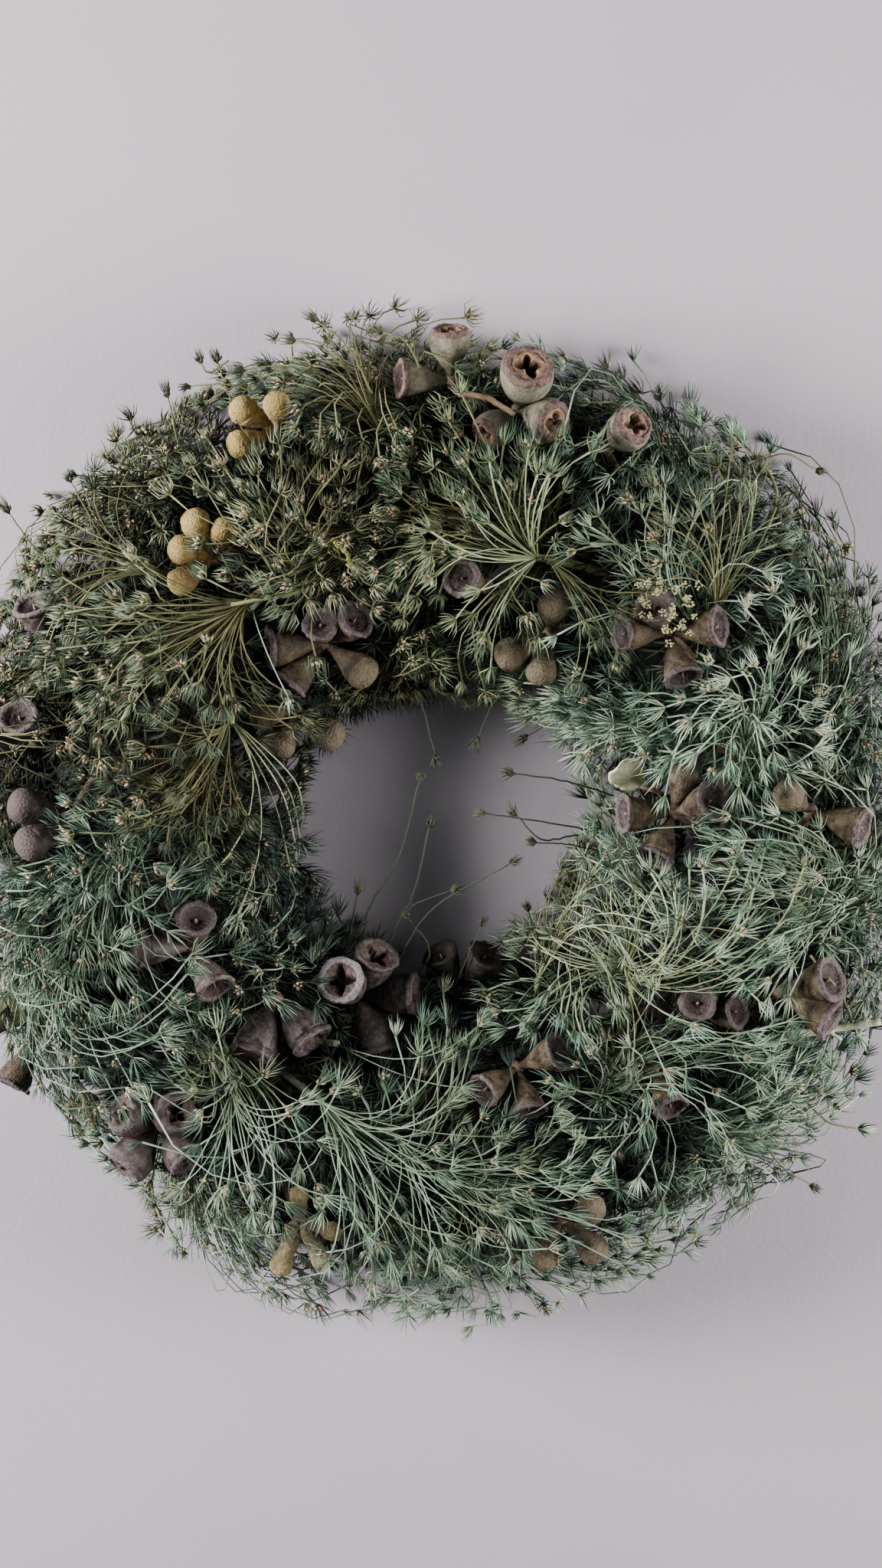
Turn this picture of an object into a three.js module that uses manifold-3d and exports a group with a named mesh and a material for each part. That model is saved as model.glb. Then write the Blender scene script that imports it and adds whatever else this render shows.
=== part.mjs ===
// A dried wreath that lies on its back: a twisted vine ring, into which dried umbels,
// clusters of eucalyptus gumnuts, two leaves and a cut twig are pushed by their stems.
// Millimetres, +Z up out of the wreath's face, +Y towards the top of the wreath.

import * as THREE from "three";
import { ConvexHull } from "three/addons/math/ConvexHull.js";
import { mergeVertices } from "three/addons/utils/BufferGeometryUtils.js";
import Module from "manifold-3d";

// The vine ring.
const RING_RADIUS = 118;
const VINE_RADIUS = 13;
const VINE_LOBES = 3;
const LOBE_RISE = 1.6;
const VINE_TWISTS = 7;
const RING_HEIGHT = 11.4;
const RING_STEPS = 45;
const RING_SIDES = 10;

// The foliage round it, as distances from the ring's centre line.
const CROWN = 62;
const SIDE_REACH = 4;
const TOP_REACH = 12;
const LEAN = 3;
const LEAN_FROM = 0.9;
const SWEEP_START = 16;
const SWEEP = 1.0;
const LOWEST_LEAF = 2.2;
const EASED_BELOW = 7;

// The stems, umbels and tufts.
const STEM_ROOT = 6;
const HOLE_ROOT = 5.2;
const HOLE_MOUTH = 24;
const HOLE_GAP = 0.65;
const STEM_RADIUS = 1.5;
const STEM_SIDES = 3;
const HUB_RADIUS = 3.1;
const HUB_ROOM = 8;
const RAY_SPREAD = 23;
const STEM_SPREAD = 46;
const HUB_DEPTH = 27;
const RAY_RADII = [0.5, 0.75];
const TUFT_BUD = { base: 0.85, shoulder: 1.15, height: 1.7 };
const NEEDLE = 8.6;
const TIP_SPACING = 20.5;
const TIP_TRIES = 14000;
// How a ray's bend is moved aside: radians round the ring and across it, and the share of
// the way out.
const BEND_TRIES = [
  [0, 0, 0.5],
  [0.05, 0, 0.55],
  [-0.05, 0, 0.55],
  [0, 0.09, 0.5],
  [0, -0.09, 0.5],
  [0.06, 0.09, 0.6],
  [-0.06, -0.09, 0.6],
  [-0.06, 0.09, 0.45],
  [0.06, -0.09, 0.45],
  [0.1, 0, 0.65],
  [-0.1, 0, 0.65],
  [0, 0.16, 0.62],
  [0, -0.16, 0.62],
];
const STRAY_SHARE = 0.06;
const STRAY_REACH = 9;
const CLEARANCE = 0.35;
const SEED = 20417;

// Gumnuts, as distances along and round their own axis for a full-size one. An open
// capsule is a funnel with a thick rim and a sunken floor; a bud is closed by a round cap.
const NUT_SIDES = 6;
const CAPSULE = {
  outer: [
    [2.5, 6],
    [6.2, 14],
    [8.9, 21.6],
  ],
  mouth: [[6.2, 23]],
  floor: 18.5,
};
const BUD = {
  outer: [
    [2.6, 6],
    [6.9, 16],
    [5.2, 22.4],
  ],
  tip: 24.6,
};
const KNUCKLE_RADIUS = 2.7;

// Where each cluster is: the clock angle of its knuckle round the ring, the angle across the
// ring from outside over the face to the hole, the knuckle's depth, and each nut as its
// bearing in the wreath's plane, its rise towards the face, its size and its kind.
const CLUSTERS = [
  { name: "gumnuts_top", at: 89, across: 28, depth: 52,
    nuts: [[92, 14, 0.8], [176, 16, 0.8]] },
  { name: "gumnuts_top_right", at: 80.4, across: 32, depth: 47,
    nuts: [[80, 46, 1.05], [-15, 50, 0.85], [214, 34, 0.75]] },
  { name: "gumnut_upper_right", at: 68, across: 35, depth: 44,
    nuts: [[50, 46, 0.85]] },
  { name: "gumnut_by_umbel", at: 81, across: 114, depth: 43,
    nuts: [[150, 56, 0.8]] },
  { name: "buds_upper_right", at: 63.7, across: 133, depth: 42,
    nuts: [[86, 42, 0.85, "bud"], [204, 24, 0.9, "bud"], [254, 36, 0.8, "bud"]] },
  { name: "gumnuts_right_fan", at: 45.4, across: 92, depth: 46,
    nuts: [[118, 42, 0.8], [176, 22, 0.8], [14, 28, 0.85], [-72, 40, 0.8]] },
  { name: "gumnuts_inner_right", at: 7.3, across: 136, depth: 42,
    nuts: [[33, 40, 0.85], [78, 14, 0.8, "bud"], [176, 16, 0.85], [243, 36, 0.85]] },
  { name: "gumnuts_outer_right", at: 6, across: 62, depth: 42,
    nuts: [[140, 38, 0.85, "bud"], [-12, 30, 0.9]] },
  { name: "gumnuts_lower_right", at: -23.6, across: 61, depth: 44,
    nuts: [[30, 34, 1], [-22, 30, 0.95]] },
  { name: "gumnuts_right_deep", at: -34.3, across: 91, depth: 38,
    nuts: [[96, 56, 0.8], [20, 36, 0.8]] },
  { name: "gumnuts_lower_face", at: -72, across: 125, depth: 43,
    nuts: [[32, 24, 0.85], [200, 42, 0.8], [288, 42, 0.8]] },
  { name: "gumnut_lower_deep", at: -47.3, across: 88, depth: 40,
    nuts: [[-60, 50, 0.78]] },
  { name: "buds_bottom_right", at: -72.5, across: 46, depth: 49,
    nuts: [[43, 36, 0.85, "bud"], [-37, 32, 0.85, "bud"], [238, 18, 0.85, "bud"]] },
  { name: "buds_bottom_left", at: -110.5, across: 44, depth: 49,
    nuts: [[-112, 12, 0.95, "bud"], [-62, 16, 0.85, "bud"], [-8, 36, 0.75, "bud"], [88, 38, 0.8, "bud"]] },
  { name: "gumnuts_lower_left", at: -134.5, across: 44, depth: 47,
    nuts: [[52, 46, 0.9], [142, 38, 0.9], [226, 34, 0.95], [-42, 36, 0.85]] },
  { name: "gumnuts_hole_left", at: -117, across: 157, depth: 50,
    nuts: [[118, 54, 1], [68, 24, 0.95], [-74, 18, 1], [4, 12, 0.95]] },
  { name: "gumnuts_left_pair", at: -136, across: 132, depth: 44,
    nuts: [[-116, 30, 1], [-44, 28, 0.95]] },
  { name: "gumnuts_left_inner", at: -158, across: 111, depth: 44,
    nuts: [[172, 24, 0.85], [-50, 40, 0.85], [78, 38, 0.85]] },
  { name: "gumnut_outer_left", at: -152, across: 8, depth: 56,
    nuts: [[-118, 26, 0.9]] },
  { name: "buds_left", at: 174.7, across: 63, depth: 44,
    nuts: [[158, 24, 0.95, "bud"], [208, 38, 0.95, "bud"]] },
  { name: "gumnuts_outer_left", at: 166.2, across: 31, depth: 43,
    nuts: [[184, 20, 0.85, "bud"], [100, 48, 0.85]] },
  { name: "gumnut_upper_left", at: 152.7, across: 34, depth: 47,
    nuts: [[108, 24, 0.9]] },
  { name: "ochre_buds_top", at: 111, across: 34, depth: 49,
    nuts: [[146, 24, 0.8, "bud"], [196, 32, 0.8, "bud"], [88, 46, 0.75, "bud"]] },
  { name: "ochre_buds_left", at: 127, across: 65, depth: 42,
    nuts: [[68, 36, 0.75, "bud"], [112, 28, 0.85, "bud"], [156, 44, 0.8, "bud"], [212, 34, 0.8, "bud"]] },
  { name: "gumnuts_hole_top", at: 119.3, across: 133, depth: 44,
    nuts: [[182, 14, 0.9], [226, 12, 0.85], [-34, 24, 0.9, "bud"], [44, 36, 0.85], [96, 56, 0.75]] },
  { name: "buds_hole_left", at: 138, across: 161, depth: 47,
    nuts: [[-38, 22, 0.85, "bud"], [190, 24, 0.75, "bud"], [244, 18, 0.8, "bud"]] },
  { name: "gumnuts_in_hole", at: -84, across: 172, depth: 52,
    nuts: [[58, 20, 0.85], [116, 18, 0.8]] },
];

// Where each umbel's hub is, by the same two angles.
const UMBELS = [
  [70.2, 100], [38, 74], [129, 94], [156, 132], [-56, 158],
  [-38, 152], [-113, 92], [-94, 62], [101, 82], [-20, 60],
  [-141, 84], [174, 92], [16, 88], [-60, 88],
  [92, 152], [24, 150], [-20, 160], [-150, 150], [175, 156],
  [12, 18], [-22, 12], [-58, 24], [-96, 20], [-138, 20],
  [-177, 30], [151, 14], [120, 12], [86, 8], [50, 20],
];

// The two leaves and the cut twig: root angles, depth, bearing, rise, length and width.
const LEAVES = [
  { name: "leaf_pale", at: 15, across: 150, depth: 46,
    bearing: 150, rise: 30, length: 15, width: 10 },
  { name: "leaf_olive", at: -156, across: 17, depth: 52,
    bearing: 190, rise: 8, length: 32, width: 15 },
];
const TWIG = { at: -29, across: 47, depth: 48, bearing: 12, rise: 8, length: 34, radius: 1.6 };

const COLOURS = {
  vine: 0x4a382b,
  green: 0x6f8468,
  gumnut: 0x6b5650,
  bud: 0x7c6a58,
  ochre: 0xa98c4c,
  leaf: 0xb9b18c,
  olive: 0x4f5236,
  twig: 0x9aa27c,
};

const wasm = await Module();
wasm.setup();

const root = new THREE.Group();
const rad = THREE.MathUtils.degToRad;

// Numbers from 0 to 1 that are the same on each run.
function randomSource(seed) {
  let state = seed >>> 0;
  return () => {
    state = (state + 0x6d2b79f5) >>> 0;
    let mixed = Math.imul(state ^ (state >>> 15), state | 1);
    mixed ^= mixed + Math.imul(mixed ^ (mixed >>> 7), mixed | 61);
    return ((mixed ^ (mixed >>> 14)) >>> 0) / 4294967296;
  };
}

// How far the foliage leans round the ring, as a length on the ring's centre line.
function sweep(depth) {
  return SWEEP * Math.max(0, depth - SWEEP_START);
}

// The foliage's real distance from the centre line where the plain one would be depth.
function reach(turn, across, depth) {
  const outward = Math.max(0, Math.cos(across));
  const lean = LEAN * (1 - Math.cos(turn - LEAN_FROM));
  const side = SIDE_REACH + (TOP_REACH - SIDE_REACH) * Math.sin(turn) ** 2 + lean;
  const crown = CROWN + outward * side;
  const beyond = Math.max(0, depth - SWEEP_START);
  return Math.min(depth, SWEEP_START) + (beyond * (crown - SWEEP_START)) / (CROWN - SWEEP_START);
}

// A height above the floor, eased so that nothing goes through it.
function aboveFloor(z) {
  const play = EASED_BELOW - LOWEST_LEAF;
  return z > EASED_BELOW ? z : LOWEST_LEAF + play * Math.exp((z - EASED_BELOW) / play);
}

// The point at a plain angle round the ring, an angle across it and a depth. Paths that keep
// apart in these three numbers keep apart in space, whatever the foliage's lean.
function place(turn, across, depth) {
  const leaned = turn + sweep(depth) / RING_RADIUS;
  const real = reach(leaned, across, depth);
  const r = RING_RADIUS + real * Math.cos(across);
  const z = aboveFloor(RING_HEIGHT + real * Math.sin(across));
  return new THREE.Vector3(r * Math.cos(leaned), r * Math.sin(leaned), z);
}

// The plain angle round the ring of something seen at a clock angle.
function plainTurn(at, depth) {
  return rad(at) - sweep(depth) / RING_RADIUS;
}

function headed(bearing, rise) {
  const b = rad(bearing);
  const e = rad(rise);
  return new THREE.Vector3(Math.cos(b) * Math.cos(e), Math.sin(b) * Math.cos(e), Math.sin(e));
}

// Two directions square to a given one.
function across(direction) {
  const helper = Math.abs(direction.z) < 0.9 ? new THREE.Vector3(0, 0, 1) : new THREE.Vector3(1, 0, 0);
  const u = new THREE.Vector3().crossVectors(direction, helper).normalize();
  return [u, new THREE.Vector3().crossVectors(direction, u)];
}

function ringOf(centre, direction, radius, sides, turn = 0) {
  const [u, v] = across(direction);
  return Array.from({ length: sides }, (_, i) => {
    const angle = turn + (2 * Math.PI * i) / sides;
    return centre
      .clone()
      .addScaledVector(u, radius * Math.cos(angle))
      .addScaledVector(v, radius * Math.sin(angle));
  });
}

// A closed solid from corner points and triangles.
function solidFrom(points, triangles) {
  const geometry = new THREE.BufferGeometry();
  const numbers = points.flatMap((p) => [p.x, p.y, p.z]);
  geometry.setAttribute("position", new THREE.Float32BufferAttribute(numbers, 3));
  geometry.setIndex(triangles.flat());
  return solidOf(geometry);
}

function solidOf(geometry) {
  const plain = geometry.index ? geometry.toNonIndexed() : geometry.clone();
  for (const name of ["normal", "uv"]) plain.deleteAttribute(name);
  const merged = mergeVertices(plain, 1e-4);
  const mesh = new wasm.Mesh({
    numProp: 3,
    vertProperties: merged.attributes.position.array,
    triVerts: new Uint32Array(merged.index.array),
  });
  return new wasm.Manifold(mesh);
}

function joined(solids) {
  return solids.reduce((whole, next) => whole.add(next));
}

// The mesh of a solid's largest body.
function meshOf(name, solid, colour, roughness = 0.85) {
  const bodies = solid.decompose().sort((a, b) => b.volume() - a.volume());
  const { vertProperties, triVerts, numProp, numVert } = bodies[0].getMesh();
  const positions = new Float32Array(numVert * 3);
  for (let i = 0; i < numVert; i++) {
    positions.set(vertProperties.subarray(i * numProp, i * numProp + 3), i * 3);
  }
  const geometry = new THREE.BufferGeometry();
  geometry.setAttribute("position", new THREE.BufferAttribute(positions, 3));
  geometry.setIndex(new THREE.BufferAttribute(triVerts, 1));
  const material = new THREE.MeshStandardMaterial({ color: colour, roughness, metalness: 0 });
  const mesh = new THREE.Mesh(geometry, material);
  mesh.name = name;
  return mesh;
}

// Adds the wall between two rings of the same count to a list of triangles.
function wall(triangles, lower, upper, sides) {
  for (let i = 0; i < sides; i++) {
    const j = (i + 1) % sides;
    triangles.push([lower + i, lower + j, upper + j], [lower + i, upper + j, upper + i]);
  }
}

// A tapered tube through some points, with flat ends. The second ring's direction is kept at
// the root, so that a hole made by the same path lies evenly round the stem.
function tube(path, radii, sides, turn = 0) {
  const points = [];
  const triangles = [];
  path.forEach((p, i) => {
    const before = path[Math.max(i - 1, 0)];
    const after = path[Math.min(i + 1, path.length - 1)];
    const direction = (i === 1 ? p.clone().sub(before) : after.clone().sub(before)).normalize();
    points.push(...ringOf(p, direction, radii[i], sides, turn));
    if (i) wall(triangles, (i - 1) * sides, i * sides, sides);
  });
  const last = (path.length - 1) * sides;
  for (let i = 1; i < sides - 1; i++) {
    triangles.push([0, i + 1, i], [last, last + i, last + i + 1]);
  }
  return solidFrom(points, triangles);
}

// Keeps every stem, ray, needle and nut apart from those of other nodes.
const placed = [];

function segmentDistance(p, q, a, b) {
  const d1 = q.clone().sub(p);
  const d2 = b.clone().sub(a);
  const r = p.clone().sub(a);
  const [e1, e2, f] = [d1.dot(d1), d2.dot(d2), d2.dot(r)];
  const c = d1.dot(r);
  const cross = d1.dot(d2);
  const square = e1 * e2 - cross * cross;
  const clamp = THREE.MathUtils.clamp;
  let s = square > 1e-9 ? clamp((cross * f - c * e2) / square, 0, 1) : 0;
  const t = clamp((cross * s + f) / Math.max(e2, 1e-12), 0, 1);
  s = clamp((cross * t - c) / Math.max(e1, 1e-12), 0, 1);
  return p.clone().addScaledVector(d1, s).distanceTo(a.clone().addScaledVector(d2, t));
}

// Each segment is [start, end, radius]. The pieces of one bunch in a node may meet, and so may
// any of its bunches and its hub.
function clear(segments, node, bunch = null, gap = CLEARANCE) {
  return segments.every(([p, q, r]) =>
    placed.every((other) => {
      const oneBunch = bunch === null || other.bunch === null || other.bunch === bunch;
      if (other.node === node && oneBunch) return true;
      const need = r + other.radius + gap;
      const { min, max } = other.box;
      for (const k of ["x", "y", "z"]) {
        if (Math.min(p[k], q[k]) - need > max[k] || Math.max(p[k], q[k]) + need < min[k]) return true;
      }
      return segmentDistance(p, q, other.a, other.b) > need;
    }),
  );
}

function keep(segments, node, bunch = null) {
  for (const [a, b, radius] of segments) {
    placed.push({ a, b, radius, node, bunch, box: new THREE.Box3().setFromPoints([a, b]) });
  }
}

const holes = [];

// A stem's path from its root in the ring out to a depth, and the hole that it stands in.
function stemPath(turn, angle, depth) {
  return [STEM_ROOT, SWEEP_START, (SWEEP_START + depth) / 2, depth].map((d) => place(turn, angle, d));
}

// Claims a stem's room and its hole, and returns its path.
function rootedPath(turn, angle, depth, radius, node) {
  const path = stemPath(turn, angle, depth);
  const segments = path.slice(1).map((p, i) => [path[i], p, radius]);
  if (!clear(segments, node)) throw new Error(`${node}: its stem is too near another piece`);
  keep(segments, node);
  const foot = place(turn, angle, HOLE_ROOT);
  const mouth = foot.clone().lerp(path[1], HOLE_MOUTH / SWEEP_START);
  holes.push(tube([foot, mouth], [radius + HOLE_GAP, radius + HOLE_GAP], STEM_SIDES));
  return path;
}

function stem(turn, angle, depth, radius, node) {
  const path = rootedPath(turn, angle, depth, radius, node);
  return tube(path, [radius, radius, radius * 0.95, radius * 0.9], STEM_SIDES);
}

// The vine ring: lobes that wind round it, flattened where it lies on the surface.
function vineRing() {
  const points = [];
  const triangles = [];
  for (let i = 0; i < RING_STEPS; i++) {
    const turn = (2 * Math.PI * i) / RING_STEPS;
    for (let j = 0; j < RING_SIDES; j++) {
      const angle = (2 * Math.PI * j) / RING_SIDES;
      const section = VINE_RADIUS + LOBE_RISE * Math.cos(VINE_LOBES * angle + VINE_TWISTS * turn);
      const r = RING_RADIUS + section * Math.cos(angle);
      const z = Math.max(0, RING_HEIGHT + section * Math.sin(angle));
      points.push(new THREE.Vector3(r * Math.cos(turn), r * Math.sin(turn), z));
    }
    wall(triangles, ((i + 1) % RING_STEPS) * RING_SIDES, i * RING_SIDES, RING_SIDES);
  }
  return solidFrom(points, triangles);
}

// A gumnut by its profile, with its foot at a point and its mouth or cap along a direction.
function gumnut(foot, direction, size, kind) {
  const shape = kind === "bud" ? BUD : CAPSULE;
  const points = [foot.clone()];
  const triangles = [];
  const profile = [...shape.outer, ...(shape.mouth ?? [])];
  profile.forEach(([radius, along], i) => {
    const centre = foot.clone().addScaledVector(direction, along * size);
    points.push(...ringOf(centre, direction, radius * size, NUT_SIDES));
    if (i) wall(triangles, 1 + (i - 1) * NUT_SIDES, 1 + i * NUT_SIDES, NUT_SIDES);
  });
  const last = 1 + (profile.length - 1) * NUT_SIDES;
  points.push(foot.clone().addScaledVector(direction, (shape.tip ?? shape.floor) * size));
  for (let i = 0; i < NUT_SIDES; i++) {
    const j = (i + 1) % NUT_SIDES;
    triangles.push([0, 1 + j, 1 + i], [last + i, last + j, points.length - 1]);
  }
  return solidFrom(points, triangles);
}

// The space that a gumnut takes, as a slim neck and a thick bell.
function nutSegments(foot, direction, size) {
  const at = (along) => foot.clone().addScaledVector(direction, along * size);
  return [
    [foot, at(9), 3 * size],
    [at(9), at(14), 6 * size],
    [at(16), at(20), 8.2 * size],
  ];
}

function cluster({ name, at, across: angle, depth, nuts }) {
  const turn = plainTurn(at, depth);
  const knuckle = place(turn, rad(angle), depth);
  const solids = [stem(turn, rad(angle), depth, 1.7, name)];
  solids.push(solidOf(new THREE.OctahedronGeometry(KNUCKLE_RADIUS, 0).translate(...knuckle)));
  for (const [bearing, rise, size, kind] of nuts) {
    const direction = headed(bearing, rise);
    const foot = knuckle.clone().addScaledVector(direction, 1);
    solids.push(gumnut(foot, direction, size, kind));
    const segments = nutSegments(foot, direction, size);
    if (!clear(segments, name)) throw new Error(`${name}: a nut at ${bearing} is too near another piece`);
    keep(segments, name);
  }
  const dried = nuts.every(([, , , kind]) => kind === "bud") ? COLOURS.bud : COLOURS.gumnut;
  return meshOf(name, joined(solids), name.startsWith("ochre") ? COLOURS.ochre : dried);
}

// A leaf: a thin blade, bent along its rib, on a stalk from the ring.
function leaf({ name, at, across: angle, depth, bearing, rise, length, width }) {
  const turn = plainTurn(at, depth);
  const foot = place(turn, rad(angle), depth);
  const direction = headed(bearing, rise);
  const [side, up] = across(direction);
  const half = [0.12, 0.8, 1, 0.72, 0.1];
  const points = [];
  const triangles = [];
  half.forEach((share, i) => {
    const along = (length * i) / (half.length - 1);
    const droop = -0.12 * length * (i / (half.length - 1)) ** 2;
    for (const [across, thick] of [[-1, -0.4], [0, -0.4], [1, -0.4], [1, 0.4], [0, 0.4], [-1, 0.4]]) {
      const rise = (thick > 0 ? 0.45 : -0.45) + droop + (across ? 0.16 * width * share : 0);
      points.push(
        foot
          .clone()
          .addScaledVector(direction, along)
          .addScaledVector(side, (across * share * width) / 2)
          .addScaledVector(up, rise),
      );
    }
    if (i) wall(triangles, (i - 1) * 6, i * 6, 6);
  });
  const last = (half.length - 1) * 6;
  for (let i = 1; i < 5; i++) triangles.push([0, i + 1, i], [last, last + i, last + i + 1]);
  const blade = solidFrom(points, triangles);
  const blades = blade.volume() < 0 ? solidFrom(points, triangles.map(([a, b, c]) => [a, c, b])) : blade;
  const end = foot.clone().addScaledVector(direction, length);
  const segments = [[foot, end, width * 0.45]];
  if (!clear(segments, name)) throw new Error(`${name} is too near another piece`);
  const solid = joined([stem(turn, rad(angle), depth + 0.6, 1, name), blades]);
  keep(segments, name);
  return meshOf(name, solid, name === "leaf_pale" ? COLOURS.leaf : COLOURS.olive);
}

function cutTwig({ at, across: angle, depth, bearing, rise, length, radius }) {
  const turn = plainTurn(at, depth);
  const foot = place(turn, rad(angle), depth);
  const direction = headed(bearing, rise);
  const end = foot.clone().addScaledVector(direction, length);
  const start = foot.clone().addScaledVector(direction, -1.5);
  const segments = [[start, end, radius]];
  if (!clear(segments, "cut_twig")) throw new Error("cut_twig is too near another piece");
  const shoot = tube([start, end], [radius, radius * 0.85], 5);
  const solid = joined([stem(turn, rad(angle), depth, 1.5, "cut_twig"), shoot]);
  keep(segments, "cut_twig");
  return meshOf("cut_twig", solid, COLOURS.twig);
}

// The difference between two angles round the ring, the short way.
function turnGap(a, b) {
  return Math.atan2(Math.sin(a - b), Math.cos(a - b));
}

// Ray tips spread evenly over the crown, clear of the gumnuts: [plain turn, across, depth].
function tips(random) {
  const found = [];
  const nuts = placed.filter(({ radius }) => radius > 4);
  for (let i = 0; i < TIP_TRIES; i++) {
    const turn = 2 * Math.PI * random();
    const angle = rad(-11 + 203 * random());
    const stray = random() < STRAY_SHARE && Math.cos(angle) > -0.2 ? STRAY_REACH * random() : 0;
    const depth = CROWN - 7 * random() + stray;
    const share = (RING_RADIUS + depth * Math.cos(angle)) / (RING_RADIUS + depth);
    if (random() > share) continue;
    const p = place(turn, angle, depth);
    const far = found.every((t) => t.point.distanceTo(p) > TIP_SPACING);
    if (far && nuts.every(({ a, b, radius }) => segmentDistance(p, p, a, b) > radius + 7)) {
      found.push({ turn, angle, depth, point: p });
    }
  }
  return found;
}

// Shares the tips out to the nearest umbel.
function shareOut(found, hubs) {
  for (const tip of found) {
    const radius = RING_RADIUS + 40 * Math.cos(tip.angle);
    const distance = (hub) =>
      Math.hypot(turnGap(tip.turn, hub.turn) * radius, 42 * (tip.angle - hub.angle));
    hubs.reduce((best, hub) => (distance(hub) < distance(best) ? hub : best)).tips.push(tip);
  }
}

// Spreads directions apart until none is nearer to another, or to the stem, than it may be.
function spreadApart(directions, stemDirection) {
  for (let round = 0; round < 60; round++) {
    directions.forEach((d, i) => {
      const others = directions.filter((_, j) => j !== i).map((o) => [o, rad(RAY_SPREAD)]);
      for (const [other, least] of [...others, [stemDirection, rad(STEM_SPREAD)]]) {
        const lack = least - d.angleTo(other);
        if (lack > 0) d.addScaledVector(d.clone().sub(other).normalize(), lack * 0.6).normalize();
      }
    });
  }
}

// Adds a ray and its tuft to an umbel: a bent three-sided stalk from its ring on the hub,
// which ends in a bud with each of its faces drawn out into a needle. Needles that would
// reach another piece are shortened.
function addRay(points, triangles, first, bend, end, node, bunch, random) {
  const direction = end.clone().sub(bend).normalize();
  wall(triangles, first, points.length, 3);
  points.push(...ringOf(bend, direction, RAY_RADII[1], 3));
  wall(triangles, points.length - 3, points.length, 3);
  const top = end.clone().addScaledVector(direction, TUFT_BUD.height);
  const low = points.push(...ringOf(end, direction, TUFT_BUD.base, 3)) - 3;
  const high = points.push(...ringOf(top, direction, TUFT_BUD.shoulder, 3, Math.PI / 3)) - 3;
  const [u, v] = across(direction);
  const heart = end.clone().addScaledVector(direction, TUFT_BUD.height / 2);
  const drawnTo = (open, turn, length) =>
    heart
      .clone()
      .addScaledVector(direction, length * Math.cos(open))
      .addScaledVector(u, length * Math.sin(open) * Math.cos(turn))
      .addScaledVector(v, length * Math.sin(open) * Math.sin(turn));
  const faces = [[[high, high + 1, high + 2], 0.15, 6 * random()]];
  for (let i = 0; i < 3; i++) {
    const j = (i + 1) % 3;
    const turn = (2 * Math.PI * i) / 3;
    faces.push([[low + i, low + j, high + i], rad(50 + 10 * random()), turn + Math.PI / 3]);
    faces.push([[low + j, high + j, high + i], rad(24 + 8 * random()), turn + (2 * Math.PI) / 3]);
  }
  for (const [[a, b, c], open, turn] of faces) {
    const length = NEEDLE * (0.85 + 0.3 * random());
    const fits = (s) => clear([[heart, drawnTo(open, turn, length * s), 0.7]], node, bunch);
    const share = [1, 0.65].find(fits);
    const apex = share && drawnTo(open, turn, length * share);
    if (!apex || apex.z < 0.5) {
      triangles.push([a, b, c]);
      continue;
    }
    keep([[heart, apex, 0.7]], node, bunch);
    const n = points.push(apex) - 1;
    triangles.push([a, b, n], [b, c, n], [c, a, n]);
  }
}

// The rays of an umbel that have room, each as its tip and the bend on the way to it. A ray
// that would touch something is tried with its bend moved aside.
function raysWithRoom(hub, name) {
  const rays = [];
  for (const tip of hub.tips) {
    const bunch = rays.length;
    for (const [sideways, over, out] of BEND_TRIES) {
      const turn = hub.turn + turnGap(tip.turn, hub.turn) / 2 + sideways;
      const depth = HUB_DEPTH + (tip.depth - HUB_DEPTH) * out;
      const bend = place(turn, (hub.angle + tip.angle) / 2 + over, depth);
      const start = hub.centre.clone().lerp(bend, HUB_ROOM / hub.centre.distanceTo(bend));
      const heart = tip.point.clone().lerp(bend, -TUFT_BUD.height / tip.point.distanceTo(bend));
      const stalk = [
        [start, bend, RAY_RADII[1]],
        [bend, tip.point, TUFT_BUD.base],
        [tip.point, heart, TUFT_BUD.shoulder],
      ];
      if (!clear(stalk, name, bunch)) continue;
      keep(stalk, name, bunch);
      rays.push({ end: tip.point, bend, bunch });
      break;
    }
  }
  hub.dropped = hub.tips.length - rays.length;
  return rays;
}

// An umbel as one skin: the stem and the rays grow out of flat rings on a faceted hub.
function umbel(hub, name, random) {
  const points = [];
  const triangles = [[0, 2, 1]];
  const ringOnHub = (direction, radius) => {
    const lift = Math.sqrt(HUB_RADIUS ** 2 - radius ** 2);
    return ringOf(hub.centre.clone().addScaledVector(direction, lift), direction, radius, 3);
  };
  const [rootEnd, mouth, neck] = hub.path;
  const down = neck.clone().sub(hub.centre).normalize();
  points.push(...ringOf(rootEnd, mouth.clone().sub(rootEnd).normalize(), STEM_RADIUS, 3));
  points.push(...ringOf(mouth, mouth.clone().sub(rootEnd).normalize(), STEM_RADIUS, 3));
  wall(triangles, 0, 3, 3);

  const rays = raysWithRoom(hub, name);
  const directions = rays.map(({ bend }) => bend.clone().sub(hub.centre).normalize());
  spreadApart(directions, down);
  const rings = directions.map((d) => ringOnHub(d, RAY_RADII[0]));
  const socket = ringOnHub(down, STEM_RADIUS * 0.9).reverse();
  const nearest = socket.map((_, i) => points[3].distanceTo(socket[i]));
  const shift = nearest.indexOf(Math.min(...nearest));
  rings.push([0, 1, 2].map((i) => socket[(i + shift) % 3]));
  points.push(...rings.flat());
  wall(triangles, 3, points.length - 3, 3);

  const index = new Map(points.map((p, i) => [p, i]));
  const ringAt = new Map(rings.flatMap((ring, i) => ring.map((p) => [p, i])));
  for (const face of new ConvexHull().setFromPoints(rings.flat()).faces) {
    const corners = [face.edge, face.edge.next, face.edge.next.next].map((e) => e.head().point);
    const ringsMet = new Set(corners.map((p) => ringAt.get(p)));
    if (ringsMet.size > 1) triangles.push(corners.map((p) => index.get(p)));
  }
  rays.forEach(({ bend, end, bunch }, i) => {
    addRay(points, triangles, index.get(rings[i][0]), bend, end, name, bunch, random);
  });
  return meshOf(name, solidFrom(points, triangles), COLOURS.green);
}

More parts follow.
